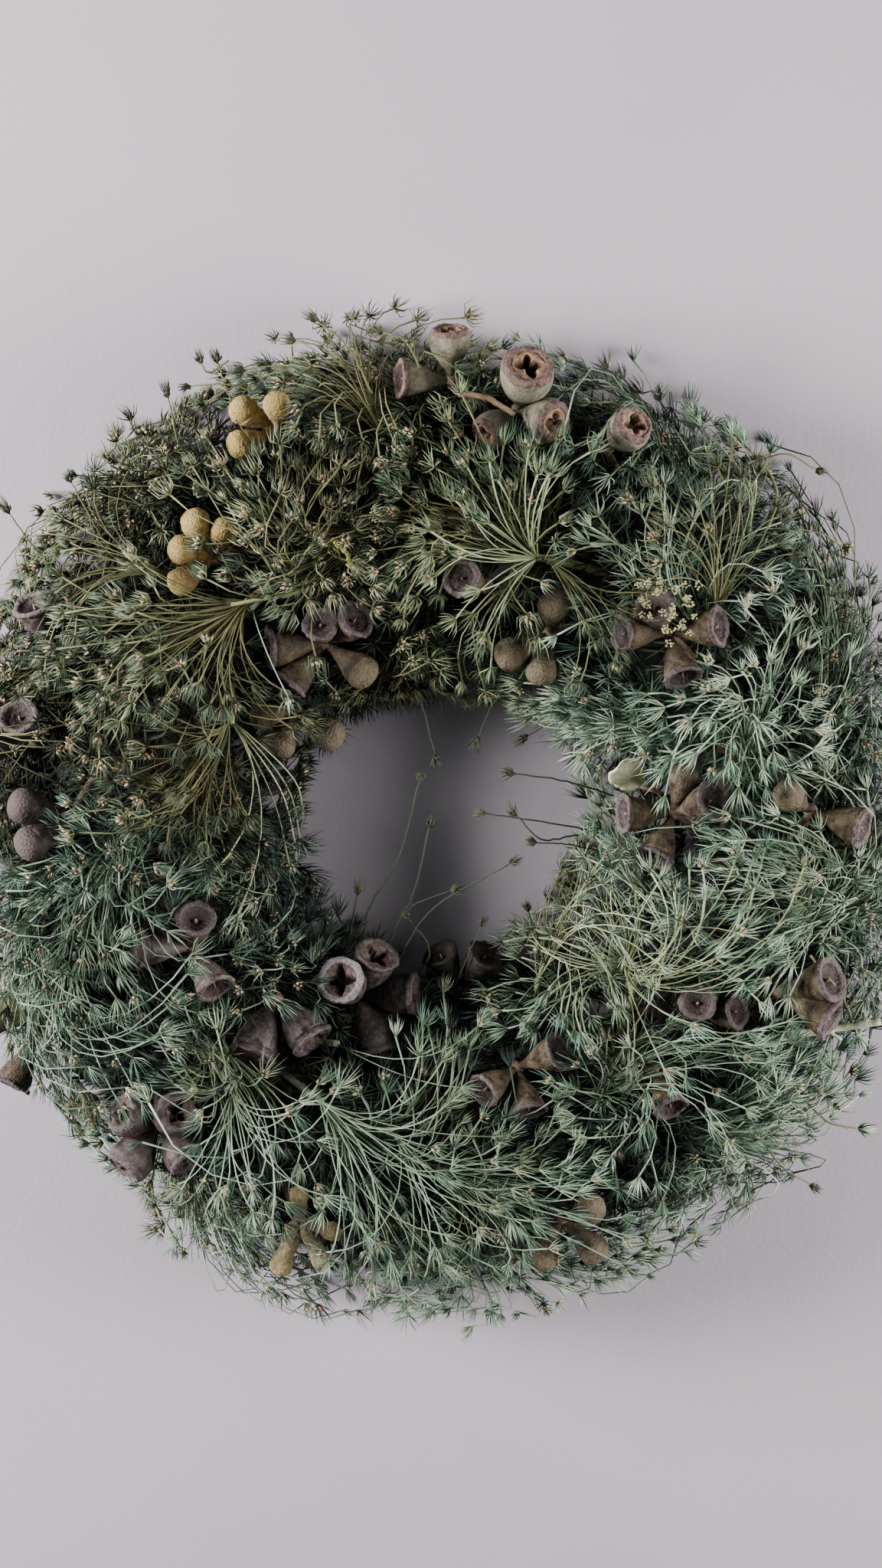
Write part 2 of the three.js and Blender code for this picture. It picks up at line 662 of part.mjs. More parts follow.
function build() {
  const random = randomSource(SEED);
  for (const one of CLUSTERS) root.add(cluster(one));
  for (const one of LEAVES) root.add(leaf(one));
  root.add(cutTwig(TWIG));

  const hubs = UMBELS.map(([at, angle], i) => {
    const turn = plainTurn(at, HUB_DEPTH);
    const name = `umbel_${String(i + 1).padStart(2, "0")}`;
    const path = rootedPath(turn, rad(angle), HUB_DEPTH, STEM_RADIUS, name);
    const centre = path[3];
    const ball = [[centre, centre, HUB_RADIUS]];
    if (!clear(ball, name)) throw new Error(`${name}: its hub is too near another piece`);
    keep([[centre, centre, HUB_RADIUS + 1]], name);
    return { turn, angle: rad(angle), path, centre, tips: [], name };
  });
  shareOut(tips(random), hubs);
  for (const hub of hubs) root.add(umbel(hub, hub.name, random));

  const ring = holes.reduce((whole, hole) => whole.subtract(hole), vineRing());
  root.add(meshOf("vine_ring", ring, COLOURS.vine));
}

// Sets the middle of the whole wreath's underside on the origin.
function centreOnOrigin() {
  const box = new THREE.Box3().setFromObject(root, true);
  const middle = box.getCenter(new THREE.Vector3());
  root.position.set(-middle.x, -middle.y, 0);
}

build();
centreOnOrigin();

export default root;
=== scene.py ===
"""The looks of a dried wreath: a ring of twisted vines that is filled with dried umbels,
clusters of gumnuts, two leaves and a cut twig.

Lengths are in millimetres from the ring's centre until a mesh is made. A place on the wreath
is a clock angle "at", anticlockwise from the right as it is seen from the front, an angle
"across", from outside over the face to the hole, and a depth out from the ring's centre line.
"""

import logging
import math
from dataclasses import dataclass, field
from enum import Enum, IntEnum
from itertools import product

import bpy
import numpy as np
from mathutils import Matrix, Vector, kdtree, noise


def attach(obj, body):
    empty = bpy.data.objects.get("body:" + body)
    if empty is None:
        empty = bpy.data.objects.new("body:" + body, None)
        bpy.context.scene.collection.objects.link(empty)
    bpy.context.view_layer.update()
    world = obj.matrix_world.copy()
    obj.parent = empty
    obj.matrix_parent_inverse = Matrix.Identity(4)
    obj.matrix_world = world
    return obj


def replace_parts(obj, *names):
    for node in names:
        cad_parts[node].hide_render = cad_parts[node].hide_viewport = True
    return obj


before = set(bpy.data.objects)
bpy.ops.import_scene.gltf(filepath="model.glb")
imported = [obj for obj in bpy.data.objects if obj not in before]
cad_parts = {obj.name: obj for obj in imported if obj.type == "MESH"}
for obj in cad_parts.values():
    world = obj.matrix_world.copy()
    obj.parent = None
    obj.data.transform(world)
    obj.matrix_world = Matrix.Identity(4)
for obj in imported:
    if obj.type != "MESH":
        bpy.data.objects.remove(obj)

log = logging.getLogger("wreath")

Array = np.ndarray
Colour = tuple[float, float, float]
Point = tuple[float, float, float]
ThickLine = tuple[Array, Array, float]
Rng = np.random.Generator
Socket = bpy.types.NodeSocket
Material = bpy.types.Material
Piece = bpy.types.Object

METRES = 0.001
RING_CENTRE = np.array([5.2036, 8.6808, 0.0])
SEED = 7741
GOLDEN_TURN = 2.39996
VIEW_TILT = math.radians(15)
TOWARDS_CAMERA = np.array([0.0, math.sin(VIEW_TILT), math.cos(VIEW_TILT)])


class Stream(IntEnum):
    """The streams of random numbers, so that no piece's draws depend on another piece."""

    TIPS = 1
    RING = 2
    LEAVES = 3
    TWIG = 4
    CATKIN = 5
    UMBELS = 100
    CLUSTERS = 200
    FAN_RAYS = 500
    FAN_TUFTS = 600
    SPRIGS = 700


def draws(stream: int, *more: int) -> Rng:
    """Opens a stream of random numbers."""
    return np.random.default_rng([SEED, int(stream), *more])


def name_sum(name: str) -> int:
    """Turns a name into a number for its stream."""
    return sum(map(ord, name))


def unit(vectors: Array) -> Array:
    """Gives vectors a length of one."""
    return vectors / np.maximum(np.linalg.norm(vectors, axis=-1, keepdims=True), 1e-9)


def square_to(headings: Array) -> tuple[Array, Array]:
    """Finds two directions square to each heading.

    Args:
        headings: Unit vectors, with the last axis as x, y and z.

    Returns:
        The two arrays of unit vectors, which turn anticlockwise about the heading.
    """
    helper = np.eye(3)[np.argmin(np.abs(headings), axis=-1)]
    first = unit(np.cross(headings, helper))
    return first, np.cross(headings, first)


def headed(bearing: float, rise: float) -> Array:
    """Turns a bearing in the wreath's plane and a rise over it, in degrees, into a direction."""
    b, e = math.radians(bearing), math.radians(rise)
    return np.array([math.cos(b) * math.cos(e), math.sin(b) * math.cos(e), math.sin(e)])


def ring_angles(sides: int) -> Array:
    """Spreads angles evenly over a full turn."""
    return 2 * np.pi * np.arange(sides) / sides


def spokes(angle: Array, first: Array, second: Array) -> Array:
    """Turns angles from a first direction towards a second one into directions."""
    return np.cos(angle)[..., None] * first + np.sin(angle)[..., None] * second


def swell(values: Array, middle: float, width: float) -> Array:
    """Gives 1 at a middle, and less and less on both sides of it."""
    return np.exp(-(((values - middle) / width) ** 2))


def eased(values: Array, start: float, span: float) -> Array:
    """Goes from 0 at a start to 1 a span farther on."""
    return np.clip((values - start) / span, 0, 1)


def band(ring: int, sides: int) -> Array:
    """Numbers the faces between a ring of corners and the next ring."""
    j, k = ring * sides + np.arange(sides), ring * sides + (np.arange(sides) + 1) % sides
    return np.stack([j, k, k + sides, j + sides], axis=1)


def cone(ring: int, sides: int, tip: int) -> Array:
    """Numbers the faces between a ring of corners and one corner."""
    j, k = ring * sides + np.arange(sides), ring * sides + (np.arange(sides) + 1) % sides
    return np.stack([j, k, np.full(sides, tip)], axis=1)


def rough(points: Array, scale: float, shift: float = 0.0) -> Array:
    """Reads smooth noise at some points.

    Args:
        points: The places, in millimetres.
        scale: The features per millimetre.
        shift: An offset that gives another pattern.

    Returns:
        A number of about -1 to 1 for each point.
    """
    flat = points.reshape(-1, 3) * scale + shift
    return np.array([noise.noise(Vector(p)) for p in flat]).reshape(points.shape[:-1])


def smooth_path(knots: Array, steps: int) -> Array:
    """Draws a smooth path through some knots.

    Args:
        knots: The points that it passes, in order.
        steps: How many points it gets.

    Returns:
        The path's points.
    """
    ends = np.concatenate([2 * knots[:1] - knots[1:2], knots, 2 * knots[-1:] - knots[-2:-1]])
    t = np.linspace(0, len(knots) - 1, steps)
    i = np.minimum(t.astype(int), len(knots) - 2)
    f = (t - i)[:, None]
    a, b, c, d = ends[i], ends[i + 1], ends[i + 2], ends[i + 3]
    square, cube = 2 * a - 5 * b + 4 * c - d, 3 * b - a - 3 * c + d
    return 0.5 * (2 * b + (c - a) * f + square * f**2 + cube * f**3)


def off_lines(points: Array, lines: list[ThickLine], more: float = 0.0) -> Array:
    """Says which points keep out of some thick lines.

    Args:
        points: The points, with x, y and z on the last axis.
        lines: Each line's two ends and its thickness.
        more: How much farther off a point has to be.

    Returns:
        A flag for each point.
    """
    clear = np.ones(points.shape[:-1], dtype=bool)
    for a, b, room in lines:
        way = b - a
        t = np.clip((points - a) @ way / (way @ way), 0, 1)
        clear &= np.linalg.norm(points - (a + t[..., None] * way), axis=-1) > room + more
    return clear


@dataclass(frozen=True)
class Flow:
    """The form that the foliage follows: round the ring, across it and out from it."""

    radius: float = 118.0
    height: float = 11.4
    root: float = 6.0
    crown: float = 62.0
    side_reach: float = 4.0
    top_reach: float = 12.0
    lean: float = 3.0
    lean_from: float = 0.9
    sweep_start: float = 16.0
    lowest: float = 2.2
    eased_below: float = 7.0
    highest: float = 89.0
    eased_above: float = 82.0
    floor: float = 0.8

    def sweep(self, depth: Array) -> Array:
        """Says how far the foliage leans round the ring at a depth."""
        return np.maximum(0.0, depth - self.sweep_start)

    def leaned(self, turn: Array, depth: Array) -> Array:
        """Turns plain angles round the ring into the clock angles that are seen, in radians."""
        return turn + self.sweep(depth) / self.radius

    def plain_turn(self, at: float, depth: float) -> float:
        """Finds the plain angle round the ring of something seen at a clock angle."""
        return math.radians(at) - float(self.sweep(np.array(depth))) / self.radius

    def place(self, turn: Array, across: Array, depth: Array) -> Array:
        """Finds points from their angles and depth.

        Args:
            turn: The plain angle round the ring, in radians.
            across: The angle across the ring, from outside over the face to the hole.
            depth: The distance from the ring's centre line.

        Returns:
            The points, in millimetres.
        """
        turn, across, depth = np.broadcast_arrays(turn, across, depth)
        leaned = self.leaned(turn, depth)
        outward = np.maximum(0.0, np.cos(across))
        lean = self.lean * (1 - np.cos(leaned - self.lean_from))
        side = self.side_reach + (self.top_reach - self.side_reach) * np.sin(leaned) ** 2 + lean
        share = (self.crown + outward * side - self.sweep_start) / (self.crown - self.sweep_start)
        real = np.minimum(depth, self.sweep_start) + self.sweep(depth) * share
        r = self.radius + real * np.cos(across)
        z = self.height + real * np.sin(across)
        play = self.eased_below - self.lowest
        low = self.lowest + play * np.exp((np.minimum(z, self.eased_below) - self.eased_below) / play)
        z = np.where(z > self.eased_below, z, low)
        return np.stack([r * np.cos(leaned), r * np.sin(leaned), z], axis=-1)

    def outward(self, turn: float, across: float) -> Array:
        """Gives the direction straight out of the ring's tube."""
        c = math.cos(across)
        return np.array([c * math.cos(turn), c * math.sin(turn), math.sin(across)])

    def settle(self, points: Array) -> Array:
        """Eases points back that would stand out of the crown or go through the floor.

        Args:
            points: The points, in millimetres.

        Returns:
            The points, with their heights eased.
        """
        z = points[..., 2]
        play = self.highest - self.eased_above
        high = self.highest - play * np.exp(-(np.maximum(z, self.eased_above) - self.eased_above) / play)
        points[..., 2] = np.maximum(np.where(z > self.eased_above, high, z), self.floor)
        return points

    def stem_path(self, turn: float, across: float, depth: float, steps: int = 8) -> Array:
        """Finds a stem's path from its root in the ring out to a depth."""
        return self.place(turn, across, np.linspace(self.root, depth, steps))


FLOW = Flow()


def over(at: float, across: float, depth: float) -> Array:
    """Gives the point at a clock angle, an angle across in degrees and a depth."""
    return FLOW.place(FLOW.plain_turn(at, depth), math.radians(across), np.array(depth))


class Skin:
    """Collects the surfaces of one piece."""

    total = 0

    def __init__(self) -> None:
        """Starts with no surface."""
        self.points: list[Array] = []
        self.faces: list[tuple[Array, int]] = []
        self.along: list[Array] = []
        self.chance: list[Array] = []
        self.count = 0

    def add(
        self,
        points: Array,
        faces: list[Array],
        slot: int,
        along: Array | float = 0.0,
        chance: Array | float = 0.5,
    ) -> None:
        """Adds one surface.

        Args:
            points: Its corners.
            faces: Arrays of corner numbers, one array for each count of sides.
            slot: The number of its finish.
            along: How far each corner is along its growth, from 0 to 1.
            chance: A number from 0 to 1 that sets growths of one kind apart; on the umbels' tufts and stalks it
                also carries painted shade and painted light.
        """
        flat = points.reshape(-1, 3)
        for block in faces:
            self.faces.append((block.reshape(-1, block.shape[-1]) + self.count, slot))
        self.points.append(flat)
        self.along.append(np.broadcast_to(along, points.shape[:-1]).reshape(-1))
        self.chance.append(np.broadcast_to(chance, points.shape[:-1]).reshape(-1))
        self.count += len(flat)

    def tubes(
        self,
        paths: Array,
        radii: Array | float,
        sides: int,
        slot: int,
        along: Array | float = 0.0,
        chance: Array | float = 0.5,
        pointed: bool = False,
    ) -> None:
        """Adds a closed tube round each path.

        Args:
            paths: The paths' points, as paths by points by three.
            radii: The tube's radius at each point.
            sides: How many sides it has.
            slot: The number of its finish.
            along: How far each point is along its growth.
            chance: A number for each path, or each point.
            pointed: Whether it ends in a point.
        """
        count, steps, _ = paths.shape
        radii = np.broadcast_to(radii, (count, steps))
        ahead = unit(np.gradient(paths, axis=1))
        helper = np.eye(3)[np.argmin(np.abs(ahead.mean(axis=1)), axis=-1)]
        first = unit(np.cross(ahead, helper[:, None, :]))
        second = np.cross(ahead, first)
        rings = steps - 1 if pointed else steps
        outward = spokes(ring_angles(sides), first[:, :rings, None, :], second[:, :rings, None, :])
        points = paths[:, :rings, None, :] + radii[:, :rings, None, None] * outward
        points = points.reshape(count, rings * sides, 3)
        if pointed:
            points = np.concatenate([points, paths[:, -1:, :]], axis=1)
        marks = []
        for values in (along, chance):
            values = np.broadcast_to(values, (count, steps))
            mark = np.repeat(values[:, :rings], sides, axis=1)
            marks.append(np.concatenate([mark, values[:, -1:]], axis=1) if pointed else mark)
        self.add(points, self._tube_faces(count, rings, sides, pointed), slot, *marks)

    @staticmethod
    def _tube_faces(count: int, rings: int, sides: int, pointed: bool) -> list[Array]:
        """Numbers the faces of some tubes of one kind.

        Args:
            count: How many tubes there are.
            rings: The rings of corners in each.
            sides: The corners in a ring.
            pointed: Whether each ends in a point.

        Returns:
            The arrays of corner numbers.
        """
        first = (np.arange(count) * (rings * sides + pointed))[:, None, None]
        ring = np.arange(sides)[None, None, :]
        faces = [ring[..., ::-1] + first]
        if rings > 1:
            faces.append(np.concatenate([band(i, sides) for i in range(rings - 1)])[None] + first)
        if pointed:
            faces.append(cone(rings - 1, sides, rings * sides)[None] + first)
        else:
            faces.append((rings - 1) * sides + ring + first)
        return faces

    def spun(
        self,
        foot: Array,
        heading: Array,
        profile: Array,
        slots: list[int],
        roll: float = 0.0,
        chance: float = 0.5,
    ) -> None:
        """Adds a closed form that is turned about an axis.

        Args:
            foot: Where its axis starts.
            heading: The axis.
            profile: Radii and distances along, as rings by sides by two. The first and last
                rings close on their own middle.
            slots: The finish of the band after each ring.
            roll: How far it is turned about its axis.
            chance: A number that sets it apart from others.
        """
        rings, sides, _ = profile.shape
        outward = spokes(roll + ring_angles(sides), *square_to(heading))
        points = foot + profile[..., :1] * outward[None] + profile[..., 1:] * heading
        ends = [points[0].mean(axis=0), points[-1].mean(axis=0)]
        flat = np.concatenate([points.reshape(-1, 3), ends])
        along = np.concatenate([np.repeat(np.arange(rings) / (rings - 1), sides), [0.0, 1.0]])
        start, base = self.count, rings * sides
        self.add(flat, [cone(0, sides, base)[:, [1, 0, 2]]], slots[0], along, chance)
        for i in range(rings - 1):
            self.faces.append((band(i, sides) + start, slots[i]))
        self.faces.append((cone(rings - 1, sides, base + 1) + start, slots[-1]))

    def piece(self, name: str, finishes: list[Material], slot: str) -> Piece:
        """Makes the mesh and its object, and sets it on the wreath.

        Args:
            name: The piece's name.
            finishes: Its materials, in the order of their numbers.
            slot: A finish in the record; it is not used.

        Returns:
            The object.
        """
        mesh = bpy.data.meshes.new(name)
        points = (np.concatenate(self.points) + RING_CENTRE) * METRES
        sizes = np.concatenate([np.full(len(f), f.shape[1]) for f, _ in self.faces])
        corners = np.concatenate([f.ravel() for f, _ in self.faces])
        starts = np.concatenate([[0], np.cumsum(sizes)[:-1]])
        kinds = np.concatenate([np.full(len(f), s) for f, s in self.faces])
        mesh.vertices.add(len(points))
        mesh.vertices.foreach_set("co", points.astype(np.float32).ravel())
        mesh.loops.add(len(corners))
        mesh.loops.foreach_set("vertex_index", corners.astype(np.int32))
        mesh.polygons.add(len(sizes))
        mesh.polygons.foreach_set("loop_start", starts.astype(np.int32))
        mesh.polygons.foreach_set("material_index", kinds.astype(np.int32))
        mesh.polygons.foreach_set("use_smooth", np.ones(len(sizes), dtype=bool))
        for title, values in (("along", self.along), ("chance", self.chance)):
            layer = mesh.attributes.new(title, "FLOAT", "POINT")
            layer.data.foreach_set("value", np.concatenate(values).astype(np.float32))
        for finish in finishes:
            mesh.materials.append(finish)
        mesh.update(calc_edges=True)
        mesh.validate()
        thing = bpy.data.objects.new(name, mesh)
        bpy.context.scene.collection.objects.link(thing)
        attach(thing, "root")
        triangles = int((sizes - 2).sum())
        Skin.total += triangles
        log.info("%s: %d triangles", name, triangles)
        return thing


@dataclass(frozen=True)
class Knob:
    """A small lumpy ball that stalks leave from."""

    radius: float
    open_end: float
    rings: int
    sides: int
    lumps: float
    chance: float

    def grow(self, skin: Skin, centre: Array, way: Array, slot: int, rng: Rng) -> None:
        """Adds the ball.

        Args:
            skin: Where it goes.
            centre: Its middle.
            way: The direction that it faces.
            slot: The number of its finish.
            rng: The source of random numbers.
        """
        lift = np.linspace(self.open_end, math.pi - self.open_end, self.rings)
        rows = [(self.radius * math.sin(a), -self.radius * math.cos(a)) for a in lift]
        form = np.repeat(np.array(rows)[:, None, :], self.sides, axis=1)
        form[..., 0] *= 1 + self.lumps * rng.standard_normal(form.shape[:2])
        skin.spun(centre, way, form, [slot] * self.rings, 0.0, self.chance)


KNUCKLE = Knob(2.5, 0.12, 9, 14, 0.16, 0.3)
HUB = Knob(2.3, 0.2, 6, 9, 0.1, 0.6)


class Graph:
    """Lays out the nodes of one material."""

    SHEEN = 0.25

    def __init__(self, name: str) -> None:
        """Starts a material with its shader.

        Args:
            name: The material's name.
        """
        self.material = bpy.data.materials.new(name)
        self.material.use_nodes = True
        self.tree = self.material.node_tree
        self.shader = self.tree.nodes["Principled BSDF"]
        self.where = self.add("ShaderNodeTexCoord").outputs["Object"]

    def add(self, kind: str, inputs: dict | None = None, **settings: object) -> bpy.types.Node:
        """Adds a node.

        Args:
            kind: Its type.
            inputs: Numbers, colours or sockets for its inputs, by name or number.
            settings: Its other settings.

        Returns:
            The node.
        """
        node = self.tree.nodes.new(kind)
        for key, value in settings.items():
            setattr(node, key, value)
        for key, value in (inputs or {}).items():
            if isinstance(value, Socket):
                self.tree.links.new(value, node.inputs[key])
            else:
                node.inputs[key].default_value = value
        return node

    def noise(self, scale: float, detail: float = 4.0, distortion: float = 0.0) -> Socket:
        """Adds mottling with so many features per metre."""
        values = {"Vector": self.where, "Scale": scale, "Detail": detail, "Distortion": distortion}
        return self.add("ShaderNodeTexNoise", values).outputs[0]

    def cells(self, scale: float) -> Socket:
        """Adds rounded pebbles with so many per metre."""
        values = {"Vector": self.where, "Scale": scale}
        return self.add("ShaderNodeTexVoronoi", values, feature="SMOOTH_F1").outputs["Distance"]

    def mark(self, name: str) -> Socket:
        """Reads a number that the mesh carries."""
        return self.add("ShaderNodeAttribute", attribute_name=name).outputs["Fac"]

    def ramp(self, factor: Socket, stops: list[tuple[float, Colour]]) -> Socket:
        """Turns a number into a colour.

        Args:
            factor: The number's socket.
            stops: Places from 0 to 1, with their colours.

        Returns:
            The colour's socket.
        """
        node = self.add("ShaderNodeValToRGB", {"Fac": factor})
        elements = node.color_ramp.elements
        while len(elements) < len(stops):
            elements.new(0.5)
        for element, (place, colour) in zip(elements, stops):
            element.position = place
            element.color = (*colour, 1.0)
        return node.outputs["Color"]

    def level(
        self, factor: Socket, low: float, high: float, to: tuple[float, float] = (0.0, 1.0)
    ) -> Socket:
        """Stretches a number's range from low to high over another range."""
        values = {"Value": factor, "From Min": low, "From Max": high, "To Min": to[0], "To Max": to[1]}
        return self.add("ShaderNodeMapRange", values).outputs[0]

    def mix(
        self, factor: Socket | float, first: Socket | Colour, second: Socket | Colour, blend: str = "MIX"
    ) -> Socket:
        """Mixes two colours.

        Args:
            factor: How much of the second one is used.
            first: The first colour.
            second: The second colour.
            blend: How they are mixed.

        Returns:
            The mixed colour's socket.
        """
        ends = [c if isinstance(c, Socket) else (*c, 1.0) for c in (first, second)]
        values = {0: factor, 6: ends[0], 7: ends[1]}
        return self.add("ShaderNodeMix", values, data_type="RGBA", blend_type=blend).outputs[2]

    def finish(
        self, colour: Socket, roughness: Socket, height: Socket, relief: float, depth: float
    ) -> Material:
        """Joins the colour, roughness and bump to the shader.

        Args:
            colour: The base colour's socket.
            roughness: The roughness's socket.
            height: The bump's height.
            relief: How strong the bump is.
            depth: How deep it is, in millimetres.

        Returns:
            The material.
        """
        values = {"Strength": relief, "Distance": depth * METRES, "Height": height}
        bump = self.add("ShaderNodeBump", values)
        self.tree.links.new(colour, self.shader.inputs["Base Color"])
        self.tree.links.new(roughness, self.shader.inputs["Roughness"])
        self.tree.links.new(bump.outputs["Normal"], self.shader.inputs["Normal"])
        self.shader.inputs["Specular IOR Level"].default_value = self.SHEEN
        return self.material


WHITE = (1.0, 1.0, 1.0)
BLACK = (0.0, 0.0, 0.0)
# Painted shade, multiplied into the crevices between a husk's pebbles and the furrows between bark streaks.
CREVICE_SHADE = (0.4, 0.38, 0.36)


@dataclass(frozen=True)
class NeedleFinish:
    """Dried needles and stalks, coloured from foot to tip and from tuft to tuft, with painted shade and painted
    light that the umbels set in the chance mark.
    """

    name: str
    foot: Colour
    dull: Colour
    middle: Colour
    pale: Colour
    straw: Colour
    brown: Colour
    streaks: float = 600.0
    shade: float = 0.58
    relief: float = 0.35

    def material(self) -> Material:
        """Makes the material.

        Returns:
            The material.
        """
        g = Graph(self.name)
        luck = g.mark("chance")
        # On the umbels the chance mark carries painted shade and painted light by each tuft's depth and place
        # on the wreath, so this ramp's dull end paints shade.
        own = g.ramp(luck, [(0.05, self.dull), (0.42, self.middle), (0.8, self.pale), (0.98, self.straw)])
        along = g.mark("along")
        rooted = g.mix(g.level(along, 0.42, 0.0, (0.0, 0.75)), own, self.foot)
        # Paler towards the tips: partly dust, partly a painted highlight.
        tipped = g.mix(g.level(along, 0.55, 1.0, (0.0, 0.35)), rooted, self.pale)
        patches = g.noise(24.0, 2.0)
        browned = g.mix(g.level(patches, 0.5, 0.72, (0.0, 0.75)), tipped, self.brown)
        streaks = g.noise(self.streaks, 3.0)
        shade = g.ramp(streaks, [(0.3, (self.shade, self.shade, self.shade)), (0.68, WHITE)])
        lit = g.mix(0.6, browned, shade, "MULTIPLY")
        # Painted shade: tufts with the lowest chance marks, mostly the deep ones, are darkened further.
        deep = g.ramp(luck, [(0.03, (0.10, 0.12, 0.10)), (0.2, (0.5, 0.52, 0.5)), (0.4, WHITE)])
        colour = g.mix(1.0, lit, deep, "MULTIPLY")
        return g.finish(colour, g.level(streaks, 0.3, 0.7, (0.6, 0.88)), streaks, self.relief, 0.12)


class Grain(Enum):
    """How rough a husk is: its relief's strength and its depth in millimetres."""

    FINE = (0.6, 0.3)
    WORN = (0.9, 0.5)
    COARSE = (1.0, 0.6)


@dataclass(frozen=True)
class HuskFinish:
    """A woody husk: mottled, pebbled or cracked, with a darker or paler end. Its pebbles' crevices get painted
    shade, and the near-black end of the bowl and valve finishes is painted shade in a mouth's openings.
    """

    name: str
    dark: Colour
    pale: Colour
    end: Colour
    mottle: float = 260.0
    pebbles: float = 1500.0
    grain: Grain = Grain.FINE
    roughness: tuple[float, float] = (0.65, 0.95)

    def material(self) -> Material:
        """Makes the material.

        Returns:
            The material.
        """
        g = Graph(self.name)
        mottle = g.noise(self.mottle, 6.0, 0.6)
        pebbles = g.cells(self.pebbles)
        base = g.ramp(mottle, [(0.32, self.dark), (0.68, self.pale)])
        # The along mark turns the colour towards the end; in a mouth that end is painted shade.
        turned = g.mix(g.level(g.mark("along"), 0.35, 1.0), base, self.end)
        own = g.mix(g.level(g.mark("chance"), 0.0, 1.0, (0.0, 0.5)), turned, self.dark)
        # The pebbles' crevices are darkened: painted shade.
        colour = g.mix(0.7, own, g.ramp(pebbles, [(0.15, WHITE), (0.75, CREVICE_SHADE)]), "MULTIPLY")
        bumps = g.ramp(pebbles, [(0.0, WHITE), (0.8, BLACK)])
        height = g.mix(0.6, g.noise(self.pebbles * 0.8, 5.0), bumps)
        return g.finish(colour, g.level(mottle, 0.3, 0.7, self.roughness), height, *self.grain.value)


@dataclass(frozen=True)
class BarkFinish:
    """Bark or a leaf's face: long streaks and blotches."""

    name: str
    dark: Colour
    pale: Colour
    streak: float = 420.0
    relief: float = 0.5

    def material(self) -> Material:
        """Makes the material.

        Returns:
            The material.
        """
        g = Graph(self.name)
        blotches = g.noise(90.0, 5.0, 0.8)
        streaks = g.noise(self.streak, 6.0, 1.5)
        base = g.ramp(blotches, [(0.3, self.dark), (0.7, self.pale)])
        # The furrows between the streaks are darkened: painted shade.
        colour = g.mix(0.6, base, g.ramp(streaks, [(0.35, CREVICE_SHADE), (0.65, WHITE)]), "MULTIPLY")
        return g.finish(colour, g.level(streaks, 0.3, 0.7, (0.7, 0.95)), streaks, self.relief, 0.4)


@dataclass(frozen=True)
class FloorFinish:
    """A plain pale floor."""

    name: str = "pale_floor"
    colour: Colour = (0.446, 0.400, 0.458)
    shade: Colour = (0.427, 0.383, 0.438)

    def material(self) -> Material:
        """Makes the material.

        Returns:
            The material.
        """
        g = Graph(self.name)
        grain = g.noise(420.0, 5.0)
        colour = g.ramp(g.noise(9.0, 4.0), [(0.3, self.shade), (0.7, self.colour)])
        return g.finish(colour, g.level(grain, 0.3, 0.7, (0.8, 0.95)), grain, 0.25, 0.5)


WORN, COARSE = Grain.WORN, Grain.COARSE
GLOSS, DUST = (0.4, 0.65), (0.8, 1.0)

NEEDLES = [NeedleFinish(*row) for row in (
    ("sage_needles", (0.28, 0.35, 0.21), (0.020, 0.046, 0.033), (0.076, 0.155, 0.108),
     (0.255, 0.385, 0.275), (0.51, 0.61, 0.46), (0.15, 0.175, 0.085)),
    ("teal_needles", (0.22, 0.29, 0.17), (0.016, 0.044, 0.036), (0.058, 0.118, 0.084),
     (0.200, 0.300, 0.215), (0.45, 0.525, 0.385), (0.13, 0.135, 0.060)),
    ("moss_needles", (0.21, 0.24, 0.11), (0.014, 0.034, 0.022), (0.044, 0.088, 0.050),
     (0.165, 0.25, 0.150), (0.40, 0.44, 0.27), (0.11, 0.115, 0.042)),
    ("olive_needles", (0.21, 0.19, 0.090), (0.016, 0.032, 0.024), (0.058, 0.090, 0.054),
     (0.185, 0.240, 0.145), (0.42, 0.41, 0.26), (0.14, 0.115, 0.048)),
    ("tan_hearts", (0.24, 0.16, 0.085), (0.18, 0.12, 0.07), (0.37, 0.265, 0.155),
     (0.52, 0.41, 0.27), (0.60, 0.50, 0.35), (0.28, 0.16, 0.095)),
    ("dark_seeds", (0.06, 0.07, 0.045), (0.018, 0.024, 0.016), (0.040, 0.050, 0.030),
     (0.085, 0.10, 0.060), (0.13, 0.13, 0.08), (0.05, 0.038, 0.022)),
)]
STALKS = [NeedleFinish(*row, streaks=300.0, shade=0.78, relief=0.15) for row in (
    ("pale_stalks", (0.33, 0.39, 0.21), (0.06, 0.085, 0.042), (0.18, 0.245, 0.13),
     (0.42, 0.465, 0.275), (0.67, 0.685, 0.465), (0.22, 0.21, 0.09)),
    ("silver_stalks", (0.27, 0.35, 0.21), (0.045, 0.075, 0.045), (0.155, 0.235, 0.155),
     (0.37, 0.475, 0.355), (0.60, 0.69, 0.55), (0.18, 0.20, 0.10)),
    ("olive_stalks", (0.20, 0.19, 0.08), (0.030, 0.034, 0.015), (0.100, 0.105, 0.046),
     (0.26, 0.265, 0.130), (0.56, 0.54, 0.35), (0.15, 0.12, 0.045)),
    # Near-black stalks for the wisps across the shaded hole: painted shade.
    ("hole_stalks_painted_shade", (0.050, 0.060, 0.034), (0.018, 0.024, 0.015), (0.042, 0.055, 0.034),
     (0.10, 0.125, 0.080), (0.20, 0.22, 0.15), (0.040, 0.036, 0.020)),
)]
